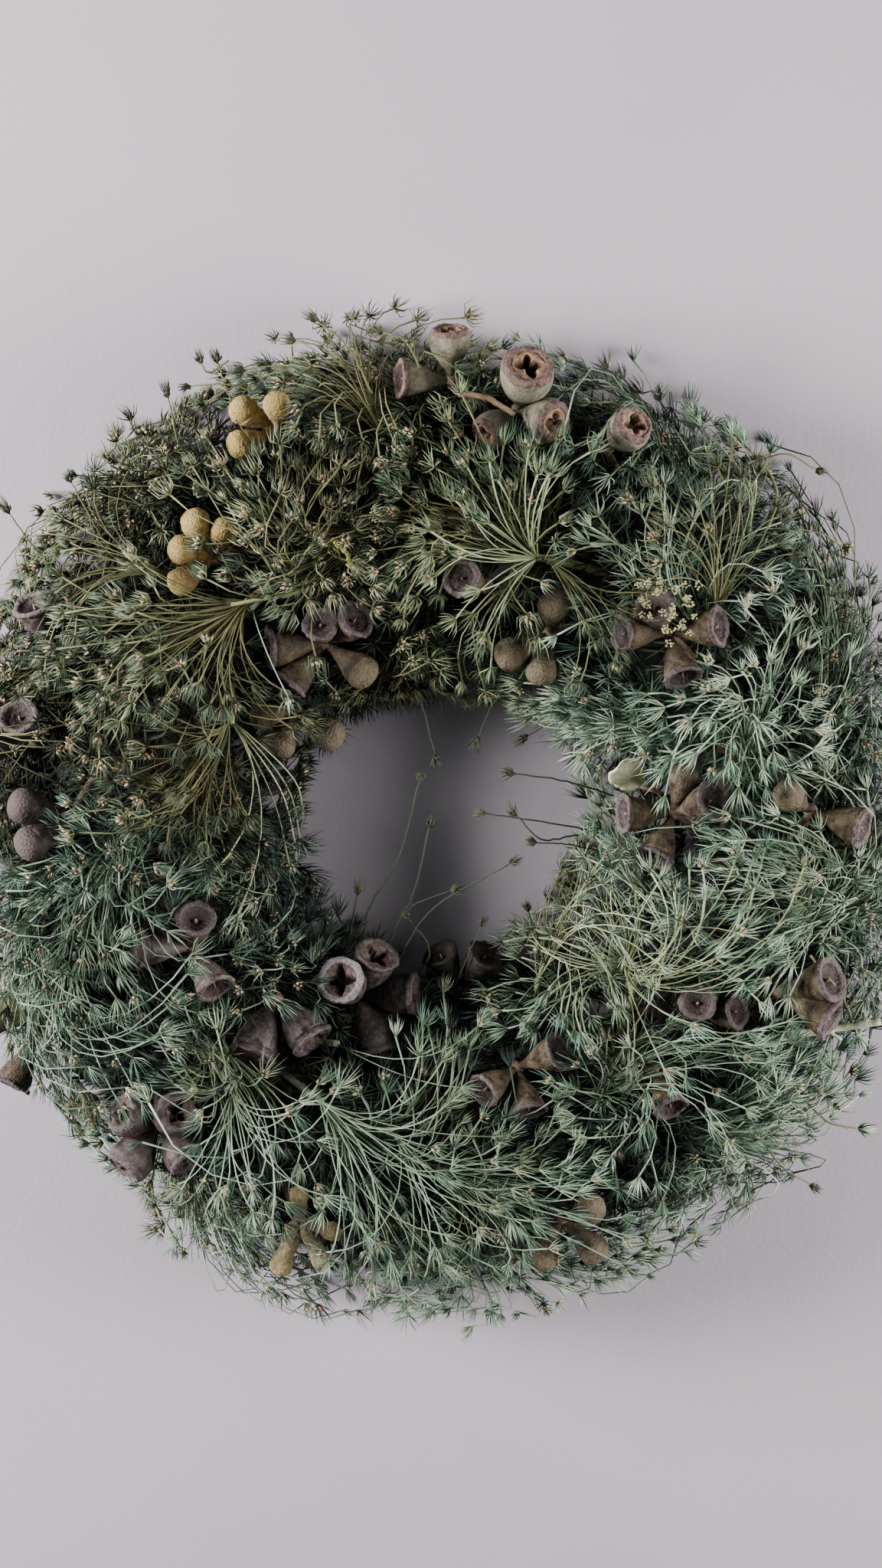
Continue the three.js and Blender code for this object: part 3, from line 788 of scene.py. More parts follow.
HUSKS = [HuskFinish(*row) for row in (
    ("husk_body", (0.026, 0.018, 0.012), (0.205, 0.152, 0.095), (0.125, 0.094, 0.070), 260, 1500, WORN),
    ("husk_body_grey", (0.028, 0.021, 0.021), (0.130, 0.103, 0.098), (0.125, 0.098, 0.096),
     320, 700, WORN, GLOSS),
    ("husk_body_green", (0.10, 0.092, 0.062), (0.29, 0.275, 0.205), (0.24, 0.21, 0.16)),
    # Near-black body for the gumnuts deep in the hole: painted shade.
    ("husk_body_painted_shade", (0.012, 0.010, 0.008), (0.055, 0.046, 0.038), (0.045, 0.037, 0.032)),
    ("husk_body_plum", (0.024, 0.017, 0.017), (0.175, 0.130, 0.126), (0.125, 0.094, 0.096),
     260, 1500, Grain.FINE, GLOSS),
    ("husk_rim", (0.028, 0.019, 0.020), (0.215, 0.165, 0.168), (0.17, 0.13, 0.135), 620, 1000, COARSE),
    ("husk_rim_grey", (0.030, 0.024, 0.026), (0.38, 0.335, 0.35), (0.34, 0.30, 0.315), 800, 900, COARSE),
    ("husk_rim_rose", (0.045, 0.027, 0.023), (0.27, 0.180, 0.160), (0.23, 0.15, 0.13), 520, 1000, COARSE),
    ("husk_rim_plum", (0.045, 0.034, 0.036), (0.215, 0.172, 0.180), (0.205, 0.165, 0.172), 520, 900, COARSE),
    # The near-black ends of the bowl and valve finishes are painted shade in the mouths' openings.
    ("husk_bowl", (0.026, 0.018, 0.018), (0.130, 0.096, 0.094), (0.016, 0.011, 0.010), 700, 1100, COARSE),
    ("husk_valve", (0.045, 0.029, 0.028), (0.24, 0.165, 0.150), (0.008, 0.005, 0.005), 700, 1600),
    ("husk_valve_tan", (0.20, 0.115, 0.07), (0.44, 0.28, 0.19), (0.012, 0.008, 0.006), 700, 1600),
    ("bud_skin", (0.068, 0.053, 0.034), (0.23, 0.183, 0.118), (0.195, 0.152, 0.104), 260, 1250, COARSE),
    ("bud_skin_plum", (0.038, 0.029, 0.027), (0.135, 0.106, 0.098), (0.12, 0.092, 0.088), 260, 1250, COARSE),
    ("ochre_skin", (0.18, 0.118, 0.042), (0.46, 0.335, 0.125), (0.45, 0.325, 0.12), 380, 1300, COARSE, DUST),
    ("khaki_skin", (0.085, 0.066, 0.038), (0.27, 0.222, 0.135), (0.43, 0.345, 0.165),
     380, 1300, COARSE, DUST),
    ("knuckle", (0.12, 0.07, 0.055), (0.30, 0.20, 0.15), (0.30, 0.19, 0.15), 500),
    ("floret_cream", (0.38, 0.35, 0.16), (0.62, 0.58, 0.33), (0.60, 0.56, 0.32), 900, 2200),
    ("catkin_skin", (0.14, 0.14, 0.03), (0.36, 0.35, 0.09), (0.34, 0.33, 0.08), 900, 2200),
)]
BARKS = [
    BarkFinish("vine_bark", (0.030, 0.020, 0.014), (0.13, 0.088, 0.058)),
    BarkFinish("pale_leaf", (0.86, 0.84, 0.52), (0.97, 0.95, 0.68), 700.0, 0.3),
    BarkFinish("olive_leaf", (0.06, 0.062, 0.030), (0.15, 0.15, 0.075), 600.0, 0.3),
    BarkFinish("green_twig", (0.42, 0.45, 0.28), (0.72, 0.74, 0.54), 800.0, 0.4),
    BarkFinish("brown_twig", (0.10, 0.065, 0.04), (0.26, 0.18, 0.11), 500.0),
]


@dataclass(frozen=True)
class Finishes:
    """Every finish of the wreath."""

    made: dict[str, Material] = field(default_factory=dict)

    def prepare(self) -> None:
        """Makes all the materials."""
        for kind in (*NEEDLES, *STALKS, *HUSKS, *BARKS, FloorFinish()):
            self.made[kind.name] = kind.material()

    def pick(self, *names: str) -> list[Material]:
        """Gives the materials of these names."""
        return [self.made[name] for name in names]


FINISHES = Finishes()


class Growth(Enum):
    """The kinds of foliage, by their colour."""

    SAGE = "sage"
    TEAL = "teal"
    MOSS = "moss"
    OLIVE = "olive"


class Green(IntEnum):
    """The finishes of a piece of foliage, by their number."""

    NEEDLE = 0
    STALK = 1
    HEART = 2


@dataclass(frozen=True)
class TuftForm:
    """A brush of fine needles on the end of a ray."""

    needles: int
    length: float
    opening: float
    thickness: float
    curl: tuple[float, float] = (0.68, 1.1)
    straight: bool = False
    looseness: tuple[float, float] = (0.7, 1.35)
    sizes: tuple[float, float] = (0.68, 1.22)
    unrest: float = 0.22
    taper: tuple[float, float, float] = (1.05, 0.9, 0.1)

    def grow(
        self,
        skin: Skin,
        hearts: Array,
        headings: Array,
        chance: Array,
        rng: Rng,
        slot: int = Green.NEEDLE,
    ) -> None:
        """Grows a brush at each heart.

        Args:
            skin: Where the needles go.
            hearts: The points that they grow from.
            headings: The directions that the brushes face.
            chance: A number for each brush.
            rng: The source of random numbers.
            slot: The number of the needles' finish.
        """
        count, n = len(hearts), self.needles
        order = np.arange(n)
        first, second = square_to(headings)
        roll = rng.uniform(0, 2 * np.pi, (count, 1))
        turn = GOLDEN_TURN * order[None] + roll + rng.normal(0, 0.15, (count, n))
        looseness = rng.uniform(*self.looseness, (count, 1))
        opening = self.opening * np.sqrt((order + 0.5) / n)[None] * looseness
        opening = opening * rng.normal(1, 0.14, (count, n))
        size = rng.uniform(*self.sizes, (count, 1))
        length = self.length * size * rng.normal(1, 0.12, (count, n)) * (1.06 - 0.14 * order / n)[None]
        radial = spokes(turn, first[:, None], second[:, None])
        curl = rng.uniform(*self.curl, (count, 1))
        path = np.empty((count, n, 3, 3))
        path[:, :, 0] = hearts[:, None] - 0.25 * headings[:, None]
        for i, share, angle in ((1, 0.5, opening * 1.15), (2, 1.0, opening * curl)):
            ahead, aside = length * share * np.cos(angle), length * share * np.sin(angle)
            onward, outward = ahead[..., None] * headings[:, None], aside[..., None] * radial
            path[:, :, i] = hearts[:, None] + onward + outward
        path[:, :, 1:] += rng.normal(0, self.unrest, (count, n, 2, 3))
        path = FLOW.settle(path).reshape(-1, 3, 3)
        luck = chance[:, None] * rng.normal(1, 0.38, (count, n)) + rng.normal(0, 0.08, (count, n))
        luck = np.clip(luck, 0, 1).reshape(-1, 1)
        steps = [0, 2] if self.straight else [0, 1, 2]
        radii = np.array(self.taper)[steps] * self.thickness
        growth = np.array([0.0, 0.5, 1.0])[steps]
        skin.tubes(path[:, steps], radii, 3, slot, growth, luck, pointed=True)


TUFTS = {
    Growth.SAGE: TuftForm(14, 9.4, 0.74, 0.23),
    Growth.TEAL: TuftForm(15, 10.2, 0.66, 0.23),
    Growth.MOSS: TuftForm(17, 7.8, 0.95, 0.24, (0.45, 1.0)),
    Growth.OLIVE: TuftForm(18, 7.4, 1.10, 0.25, (0.30, 0.85)),
}
DARK_HEAD = TuftForm(20, 6.4, 0.52, 0.24)
PALE_HEAD = TuftForm(30, 9.6, 0.62, 0.3)


@dataclass(frozen=True)
class SeedForm:
    """Small seeds or florets that crowd a tuft's heart."""

    seeds: int = 7
    length: float = 1.5
    width: float = 0.62
    start: float = 2.0
    opening: float = 0.75

    FACES = np.array(
        [[0, 2, 1], [0, 3, 2], [0, 4, 3], [0, 1, 4], [5, 1, 2], [5, 2, 3], [5, 3, 4], [5, 4, 1]]
    )
    ALONG = np.array([[0.0, 0.5, 0.5, 0.5, 0.5, 1.0]])

    def grow(self, skin: Skin, hearts: Array, headings: Array, rng: Rng, slot: int) -> None:
        """Sets seeds in each heart.

        Args:
            skin: Where the seeds go.
            hearts: The points that they crowd round.
            headings: The directions that the tufts face.
            rng: The source of random numbers.
            slot: The number of the seeds' finish.
        """
        count, n = len(hearts), self.seeds
        first, second = square_to(headings)
        turn = GOLDEN_TURN * np.arange(n)[None] + rng.uniform(0, 6.28, (count, 1))
        angle = self.opening * np.sqrt((np.arange(n) + 0.3) / n)[None] * rng.uniform(0.8, 1.2, (count, n))
        way = spokes(angle, headings[:, None], spokes(turn, first[:, None], second[:, None]))
        away = self.start * rng.uniform(0.8, 1.6, (count, n))
        middle = (hearts[:, None] + away[..., None] * way).reshape(-1, 3)
        way = way.reshape(-1, 3)
        ahead = self.length * rng.uniform(0.7, 1.2, (len(way), 1)) * way
        wide = self.width * rng.uniform(0.8, 1.25, (len(way), 1))
        u, v = (wide * side for side in square_to(way))
        corners = [middle - ahead, middle + u, middle + v, middle - u, middle - v, middle + ahead]
        points = np.stack(corners, axis=1)
        points[..., 2] = np.maximum(points[..., 2], FLOW.floor)
        faces = self.FACES[None] + (6 * np.arange(len(way)))[:, None, None]
        skin.add(points, [faces], slot, self.ALONG, rng.uniform(0.2, 1.0, (len(way), 1)))


HEARTS = SeedForm()
DARK_SEEDS = SeedForm(6, 1.3, 0.6, 1.4)
FLORET = SeedForm(7, 0.55, 0.48, 1.0, 1.6)
CATKIN_LUMPS = SeedForm(3, 0.7, 0.55, 0.5, 1.4)


class Kind(Enum):
    """The kinds of gumnut: open ones by their mouth, and closed ones by their form."""

    PIT = "a sunken bowl"
    VALVES = "four uneven holes"
    STAR = "a four-armed mouth"
    BELL = "a four-armed mouth, seen from the side"
    BUD = "a round cap"
    PEAR = "long and lumpy"


PIT, VALVES, STAR, BELL, BUD, PEAR = Kind


@dataclass(frozen=True)
class Nut:
    """One gumnut: where it faces, its size and its kind."""

    bearing: float
    rise: float
    size: float
    kind: Kind = PIT

    @property
    def heading(self) -> Array:
        """The direction that its mouth or cap faces."""
        return headed(self.bearing, self.rise)


def nuts(*rows: tuple) -> list[Nut]:
    """Makes gumnuts from their rows of sizes and kinds."""
    return [Nut(*row) for row in rows]


class Husk(IntEnum):
    """The finishes of a cluster, by their number."""

    BODY = 0
    RIM = 1
    VALVE = 2
    CAP = 3
    KNUCKLE = 4
    BOWL = 5
    STYLE = 6


class NutShape:
    """The forms of an open capsule and of closed buds: radii and heights at size one."""

    SIDES = 32
    ANGLE = ring_angles(SIDES)
    MOUTH = 5.75
    STAR_SPREAD = 1.12
    RIM_ROW = 10
    CAPSULE = [
        (1.3, 0.0), (2.2, 2.2), (3.7, 4.8), (5.3, 7.6), (6.8, 10.6), (7.8, 13.8), (8.35, 16.8),
        (8.45, 18.8), (8.4, 19.7), (7.75, 20.2), (8.55, 20.7), (9.1, 21.4), (9.15, 22.5), (8.75, 23.1),
        (8.0, 23.3), (7.2, 23.0), (6.6, 22.3),
    ]
    DISC = [(5.75, 22.0), (5.0, 21.75), (4.2, 21.6), (3.3, 21.5), (2.4, 21.45), (1.5, 21.4), (0.7, 21.4)]
    FLARED = [
        (1.3, 0.0), (1.9, 2.6), (2.6, 5.2), (3.8, 8.0), (5.3, 11.0), (6.5, 14.0), (7.4, 17.0),
        (7.9, 19.2), (8.0, 20.0), (7.7, 20.5), (8.3, 21.2), (9.0, 21.9), (9.1, 22.6), (8.6, 23.1),
        (7.8, 23.2), (7.0, 22.9), (6.3, 22.4),
    ]
    URN = [
        (1.3, 0.0), (1.9, 2.4), (2.9, 4.8), (4.8, 7.4), (6.8, 10.2), (8.3, 13.2), (9.1, 16.2),
        (9.25, 18.6), (9.0, 20.2), (8.8, 20.6), (8.7, 21.3), (8.35, 22.1), (7.75, 22.7), (7.1, 22.95),
        (6.55, 22.8), (6.15, 22.4), (5.95, 22.1),
    ]
    BUD = [
        (1.3, 0.0), (1.9, 2.6), (2.5, 5.2), (3.6, 8.2), (4.9, 11.2), (6.1, 14.0), (6.75, 15.8),
        (6.85, 16.5), (6.6, 16.9), (6.95, 17.4), (7.15, 18.6), (7.0, 20.2), (6.4, 21.8), (5.4, 23.0),
        (4.1, 23.9), (2.6, 24.45), (1.1, 24.7),
    ]
    PEAR = [
        (1.5, 0.0), (2.7, 1.4), (3.5, 3.4), (3.9, 6.0), (4.0, 8.5), (3.85, 11.0), (3.6, 13.0),
        (3.6, 14.4), (4.0, 15.8), (4.5, 17.6), (4.8, 19.4), (4.85, 21.0), (4.55, 22.4), (3.9, 23.6),
        (3.0, 24.5), (1.9, 24.9), (1.0, 25.0),
    ]

    @classmethod
    def profile(cls, rows: list[tuple[float, float]], size: float) -> Array:
        """Spreads a profile's rows round the axis, at a size."""
        return np.repeat(np.array(rows)[:, None, :], cls.SIDES, axis=1) * size

    @classmethod
    def spots(cls, form: Array) -> Array:
        """Gives a profile's points before they are set on their axis."""
        x, y = np.cos(cls.ANGLE)[None] * form[..., 0], np.sin(cls.ANGLE)[None] * form[..., 0]
        return np.stack([x, y, form[..., 1]], axis=-1)

    @classmethod
    def arms(cls, radius: Array, width: float = 2.25, reach: float = 6.5) -> Array:
        """Says where a four-armed opening lies in the mouth.

        Args:
            radius: The radii of points, as rings by sides.
            width: The arms' half width at the middle.
            reach: How far out the arms go.

        Returns:
            A number from 0 outside the opening to 1 inside it.
        """
        nearest = np.abs((cls.ANGLE + np.pi / 4) % (np.pi / 2) - np.pi / 4)
        x = radius * np.cos(nearest)[None]
        y = radius * np.sin(nearest)[None]
        half = width * np.clip(1 - x / reach, 0, 1) ** 0.7
        return np.clip((half - y) / 0.45 + 0.5, 0, 1)

    @classmethod
    def holes(cls, radius: Array, rng: Rng) -> Array:
        """Says where four uneven, drop-shaped holes lie in the mouth.

        Args:
            radius: The radii of points, as rings by sides.
            rng: The source of random numbers.

        Returns:
            A number from 0 outside the holes to 1 inside them.
        """
        opening = np.zeros_like(radius)
        for k in range(4):
            away = cls.ANGLE - k * np.pi / 2 - rng.normal(0, 0.22)
            x = radius * np.cos(away)[None]
            y = np.abs(radius * np.sin(away)[None])
            long, wide = rng.uniform(2.2, 3.1), rng.uniform(1.2, 2.3)
            half = wide * np.clip(1 - ((x - 2.6) / long) ** 2, 0, 1)
            opening = np.maximum(opening, np.clip((half - y) / 0.5 + 0.4, 0, 1) * (half > 0.05))
        return opening

    @classmethod
    def weather(cls, body: Array, nut: Nut, shift: float, rng: Rng) -> None:
        """Makes a capsule's body lobed and rough, and its rim wavy.

        Args:
            body: The body's profile.
            nut: Its size and kind.
            shift: The offset of its noise.
            rng: The source of random numbers.
        """
        rugged = nut.kind is VALVES
        lobes = 1 + 0.022 * np.cos(4 * cls.ANGLE + rng.uniform(0, 6))[None]
        spots = cls.spots(body)
        grain = rough(spots, 0.55, shift) + 0.6 * rough(spots, 1.3, shift + 9)
        strength = np.full((len(body), 1), 0.10)
        strength[cls.RIM_ROW : -1] = 1.0 if rugged else 0.75
        body[2:, :, 0] *= lobes
        body[..., 0] += strength * grain * nut.size
        rim = spots[cls.RIM_ROW :]
        waves = 0.30 * rough(rim, 0.8, shift + 21) + 0.22 * rough(rim, 2.1, shift + 33)
        body[cls.RIM_ROW :, :, 1] += waves * nut.size * (1.9 if rugged else 1.3)

    @classmethod
    def bowl(cls, body: Array, mouth: Array, size: float, shift: float) -> Array:
        """Sinks a ridged bowl into the mouth and waves the rim.

        Args:
            body: The body's profile.
            mouth: The mouth's profile.
            size: The gumnut's size.
            shift: The offset of its waves.

        Returns:
            How deep in shade each point of the mouth lies, from 0 to 1.
        """
        radius = np.array(cls.DISC)[:, :1]
        drop = np.interp(radius, [0.0, 0.9, 1.9, 2.6, 4.4, cls.MOUTH], [1.4, 1.9, 2.3, 1.2, 0.75, 0.3])
        ridges = np.cos(11 * cls.ANGLE + shift)
        mouth[..., 1] -= drop * size
        mouth[..., 1] += 0.22 * ridges * (radius / cls.MOUTH) * size
        wave = 0.4 * np.sin(3 * cls.ANGLE + shift) + 0.25 * np.sin(5 * cls.ANGLE + 2 * shift)
        wave = wave + 0.18 * ridges
        share = np.array([0.2, 0.7, 1.0, 0.9, 0.4])[:, None]
        body[cls.RIM_ROW : cls.RIM_ROW + 5, :, 1] += wave[None] * size * share
        shade = np.interp(radius, [0.0, 1.2, 1.9, 2.9, cls.MOUTH], [0.2, 0.7, 0.95, 0.25, 0.0])
        return np.repeat(shade, cls.SIDES, axis=1)

    @classmethod
    def capsule(cls, skin: Skin, foot: Array, nut: Nut, rng: Rng) -> None:
        """Adds an open capsule.

        Args:
            skin: Where it goes.
            foot: Its foot.
            nut: Its direction, size and kind.
            rng: The source of random numbers.
        """
        size, kind = nut.size, nut.kind
        disc = np.array(cls.DISC)
        starred = kind in (STAR, BELL)
        if starred:
            disc[:, 0] *= cls.STAR_SPREAD
        body = cls.profile({PIT: cls.FLARED, VALVES: cls.URN}.get(kind, cls.CAPSULE), size)
        mouth = cls.profile(disc, size)
        shift = rng.uniform(0, 50)
        cls.weather(body, nut, shift, rng)
        if kind is PIT:
            opening = cls.bowl(body, mouth, size, shift)
        else:
            radius = np.repeat(disc[:, :1], cls.SIDES, axis=1)
            dome, deep = (-0.4, 3.4) if starred else (0.9, 4.0)
            opening = cls.arms(radius) if starred else cls.holes(radius, rng)
            lip = np.clip(1 - np.abs(opening - 0.25) * 3, 0, 1) * 0.8
            mouth[..., 1] += (dome * (1 - (radius / cls.MOUTH) ** 2) + lip - deep * opening) * size
        slots = [Husk.BODY] * 16 if kind is BELL else [Husk.BODY] * 9 + [Husk.RIM] * 7
        slots += [Husk.BOWL if kind is PIT else Husk.VALVE] * 8
        luck, roll = rng.uniform(0.0, 0.9), rng.uniform(0, 6.28)
        whole = np.concatenate([body, mouth])
        skin.spun(foot, nut.heading, whole, slots, roll, 0.0 if kind is STAR else luck)
        # The mouth's along mark carries painted shade: 0.3 at the rim up to 1 deep in the openings, which the
        # bowl and valve finishes turn near-black.
        shade = skin.along[-1].copy()
        shade[len(body) * cls.SIDES : -2] = (0.3 + 0.7 * opening).ravel()
        shade[-1] = 0.3 + 0.7 * opening[-1].mean()
        skin.along[-1] = shade
        if kind is PIT:
            style = foot + nut.heading * (19.6 * size)
            path = style + np.linspace(0, 2.4 * size, 3)[:, None] * nut.heading
            skin.tubes(path[None], np.array([0.9, 0.7, 0.4]) * size, 6, Husk.STYLE, 0.3, 0.0)

    @classmethod
    def bud(
        cls, skin: Skin, foot: Array, nut: Nut, rng: Rng, lumps: float, girth: float, shade: float
    ) -> None:
        """Adds a closed bud.

        Args:
            skin: Where it goes.
            foot: Its foot.
            nut: Its direction, size and kind.
            rng: The source of random numbers.
            lumps: How lumpy it is beside a plain one.
            girth: How thick it is beside a plain one.
            shade: How much of the dark tone it has.
        """
        form = cls.profile(cls.PEAR if nut.kind is PEAR else cls.BUD, nut.size)
        form[..., 0] *= girth
        spots = cls.spots(form)
        shift = rng.uniform(0, 50)
        pebbles = 0.5 * rough(spots, 1.5, shift) + 0.5 * rough(spots, 0.5, shift + 7)
        strength = np.where(np.arange(len(form)) > 8, 0.6, 0.2) * lumps
        strength[-3:] *= 0.5
        folds = 0.8 * (lumps - 1) * rough(spots, 0.28, shift + 3)
        form[..., 0] += strength[:, None] * (pebbles + folds) * nut.size
        slots = [Husk.BODY] * 8 + [Husk.CAP] * (len(form) - 8)
        skin.spun(foot, nut.heading, form, slots, rng.uniform(0, 6.28), shade)


@dataclass(frozen=True)
class HuskSet:
    """The finishes that the nuts of one cluster have."""

    body: str
    rim: str = "husk_rim"
    valve: str = "husk_valve"
    cap: str = "bud_skin"


class Tone(Enum):
    """The colours of the clusters, by their finishes."""

    TAN = HuskSet("husk_body")
    GREY = HuskSet("husk_body_grey", "husk_rim_grey")
    GREEN = HuskSet("husk_body_green", "husk_rim_rose", "husk_valve_tan")
    PLUM = HuskSet("husk_body_plum", "husk_rim_plum", cap="bud_skin_plum")
    UMBER = HuskSet("husk_body_plum")
    # Near-black nuts for the hole, which lies in shade: painted shade.
    DARK = HuskSet("husk_body_painted_shade", "husk_body_painted_shade")
    OCHRE = HuskSet("ochre_skin", cap="ochre_skin")
    KHAKI = HuskSet("khaki_skin", cap="khaki_skin")


@dataclass
class NutCluster:
    """A cluster of gumnuts on short necks from one knuckle, on a stem from the ring."""

    name: str
    at: float
    across: float
    depth: float
    nuts: list[Nut]
    tone: Tone = Tone.TAN
    stem: float = 1.7
    view: float = 42.0

    PEAR_SHADES = (0.0, 0.6, 1.0, 0.9)

    @property
    def centre(self) -> Array:
        """Where the knuckle is."""
        return over(self.at, self.across, self.depth)

    def foot(self, nut: Nut) -> Array:
        """Where a nut's foot stands on the knuckle."""
        return self.centre + nut.heading

    def room(self) -> list[ThickLine]:
        """The space that the nuts take, as thick lines."""
        return [
            (self.foot(n) + n.heading * 8 * n.size, self.foot(n) + n.heading * 20 * n.size, 8.4 * n.size)
            for n in self.nuts
        ]

    def sight(self) -> list[ThickLine]:
        """The space before the nuts' mouths and waists, which foliage leaves open.

        Returns:
            The space, as thick lines towards the camera.
        """
        lines = []
        ahead = TOWARDS_CAMERA * self.view
        for n in self.nuts:
            mouth = self.foot(n) + n.heading * 17 * n.size
            lines.append((mouth, mouth + ahead, (4.5 if self.tone is Tone.OCHRE else 6.5) * n.size))
            if n.kind in (BELL, PEAR):
                waist = self.foot(n) + n.heading * 10 * n.size
                lines.append((waist, waist + ahead, 5.5 * n.size))
        return lines

    def build(self, rng: Rng) -> Piece:
        """Makes the cluster.

        Args:
            rng: The source of random numbers.

        Returns:
            The piece.
        """
        skin = Skin()
        path = FLOW.stem_path(FLOW.plain_turn(self.at, self.depth), math.radians(self.across), self.depth)
        skin.tubes(path[None], np.linspace(self.stem, self.stem * 0.85, 8), 8, Husk.KNUCKLE, 0.3, 0.6)
        lumps, girth = (1.6, 0.9) if self.tone is Tone.OCHRE else (1.0, 1.0)
        for i, nut in enumerate(self.nuts):
            if nut.kind is PEAR:
                NutShape.bud(skin, self.foot(nut), nut, rng, 1.8, 1.0, self.PEAR_SHADES[i])
            elif nut.kind is BUD:
                NutShape.bud(skin, self.foot(nut), nut, rng, lumps, girth, rng.uniform(0.0, 0.9))
            else:
                NutShape.capsule(skin, self.foot(nut), nut, rng)
        facing = unit(self.nuts[0].heading + TOWARDS_CAMERA)
        KNUCKLE.grow(skin, self.centre, facing, Husk.KNUCKLE, rng)
        slot = "buds" if all(n.kind in (BUD, PEAR) for n in self.nuts) else "gumnuts"
        if self.tone is Tone.OCHRE:
            slot = "ochre_buds"
        husks = self.tone.value
        finishes = FINISHES.pick(
            husks.body, husks.rim, husks.valve, husks.cap, "knuckle", "husk_bowl", "husk_valve_tan"
        )
        piece = skin.piece(f"{self.name}_fine", finishes, slot)
        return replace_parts(piece, self.name)


CLUSTERS = [NutCluster(*row) for row in (
    ("gumnuts_top", 89, 28, 52, nuts((92, 14, 0.8, VALVES), (176, 16, 0.8)), Tone.GREEN),
    ("gumnuts_top_right", 80.4, 32, 47,
     nuts((80, 46, 1.05, VALVES), (-15, 50, 0.85, VALVES), (214, 34, 0.75, VALVES)), Tone.GREEN),
    ("gumnut_upper_right", 68, 35, 44, nuts((50, 46, 0.85, VALVES)), Tone.GREEN),
    ("gumnut_by_umbel", 81, 114, 43, nuts((150, 56, 0.8))),
    ("buds_upper_right", 63.7, 133, 42,
     nuts((86, 42, 0.85, BUD), (204, 24, 0.9, BUD), (254, 36, 0.8, BUD))),
    ("gumnuts_right_fan", 45.4, 92, 46,
     nuts((118, 42, 0.8), (176, 22, 0.8), (14, 28, 0.85), (-72, 40, 0.8))),
    ("gumnuts_inner_right", 7.3, 136, 42,
     nuts((33, 40, 0.85), (78, 14, 0.8, BUD), (176, 16, 0.85), (243, 36, 0.85))),
    ("gumnuts_outer_right", 6, 62, 42, nuts((140, 38, 0.85, BUD), (-12, 30, 0.9))),
    ("gumnuts_lower_right", -23.6, 61, 44, nuts((30, 34, 1), (-22, 30, 0.95))),
    ("gumnuts_right_deep", -34.3, 91, 38, nuts((96, 56, 0.8), (20, 36, 0.8))),
    ("gumnuts_lower_face", -72, 125, 43, nuts((32, 24, 0.85), (200, 42, 0.8), (288, 42, 0.8))),
    ("gumnut_lower_deep", -47.3, 88, 40, nuts((-60, 50, 0.78))),
    ("buds_bottom_right", -72.5, 46, 49,
     nuts((43, 36, 0.85, BUD), (-37, 32, 0.85, BUD), (238, 18, 0.85, BUD))),
    ("buds_bottom_left", -110.5, 44, 49,
     nuts((-112, 12, 0.95, PEAR), (-62, 16, 0.85, PEAR), (-8, 36, 0.75, PEAR),
          (88, 38, 0.8, PEAR)), Tone.KHAKI),
    ("gumnuts_lower_left", -134.5, 44, 47,
     nuts((52, 46, 0.9, VALVES), (142, 38, 0.9, VALVES), (226, 34, 0.95, VALVES),
          (-42, 36, 0.85, VALVES)), Tone.PLUM),
    ("gumnuts_hole_left", -117, 157, 50,
     nuts((118, 54, 1, STAR), (68, 24, 0.95, BELL), (-74, 18, 1, BELL), (4, 12, 0.95, BELL)), Tone.GREY),
    ("gumnuts_left_pair", -136, 132, 44, nuts((-116, 30, 1, BELL), (-44, 28, 0.95, BELL)), Tone.GREY),
    ("gumnuts_left_inner", -158, 111, 44,
     nuts((172, 24, 0.85), (-50, 40, 0.85), (78, 38, 0.85)), Tone.UMBER),
    ("gumnut_outer_left", -152, 8, 56, nuts((-118, 26, 0.9))),
    ("buds_left", 174.7, 63, 44, nuts((158, 24, 0.95, BUD), (208, 38, 0.95, BUD)), Tone.PLUM),
    ("gumnuts_outer_left", 166.2, 31, 43, nuts((184, 20, 0.85, BUD), (100, 48, 0.85)), Tone.PLUM),
    ("gumnut_upper_left", 152.7, 34, 47, nuts((108, 24, 0.9)), Tone.PLUM),
    ("ochre_buds_top", 111, 34, 49,
     nuts((146, 24, 0.8, BUD), (196, 32, 0.8, BUD), (88, 46, 0.75, BUD)), Tone.OCHRE),
    ("ochre_buds_left", 127, 65, 42,
     nuts((68, 36, 0.75, BUD), (112, 28, 0.85, BUD), (156, 44, 0.8, BUD),
          (212, 34, 0.8, BUD)), Tone.OCHRE),
    ("gumnuts_hole_top", 119.3, 133, 44,
     nuts((182, 14, 0.9), (226, 12, 0.85), (-34, 24, 0.9, BUD), (44, 36, 0.85), (96, 56, 0.75))),
    ("buds_hole_left", 138, 161, 47,
     nuts((-38, 22, 0.85, BUD), (190, 24, 0.75, BUD), (244, 18, 0.8, BUD))),
    ("gumnuts_in_hole", -84, 172, 52, nuts((58, 20, 0.85), (116, 18, 0.8)), Tone.DARK),
)]

# The views of the pale leaf and the cut twig, which foliage leaves open.
OPEN_VIEWS: list[ThickLine] = [
    (over(*place), over(*place) + TOWARDS_CAMERA * 30, room)
    for *place, room in (
        (19.5, 156, 55, 9.0), (17.5, 153, 53, 8.5),
        (-27.6, 46, 62, 3.8), (-26.5, 38, 62, 3.8), (-25.4, 32, 62, 4.0),
    )
]

ROOMS = [line for c in CLUSTERS for line in c.room()]
SIGHTS = [line for c in CLUSTERS for line in c.sight()] + OPEN_VIEWS


@dataclass(frozen=True)
class Layer:
    """One layer of tufts: how deep it lies, how close its tufts are and how fine."""

    depth: float
    spread: float
    spacing: float
    across: tuple[float, float]
    tries: int
    needles: int
    blade: float = 0.25

    def tuft(self) -> TuftForm:
        """The plain brush of the layers below the first one."""
        return TuftForm(self.needles, 9.6, 1.25, self.blade, straight=True)


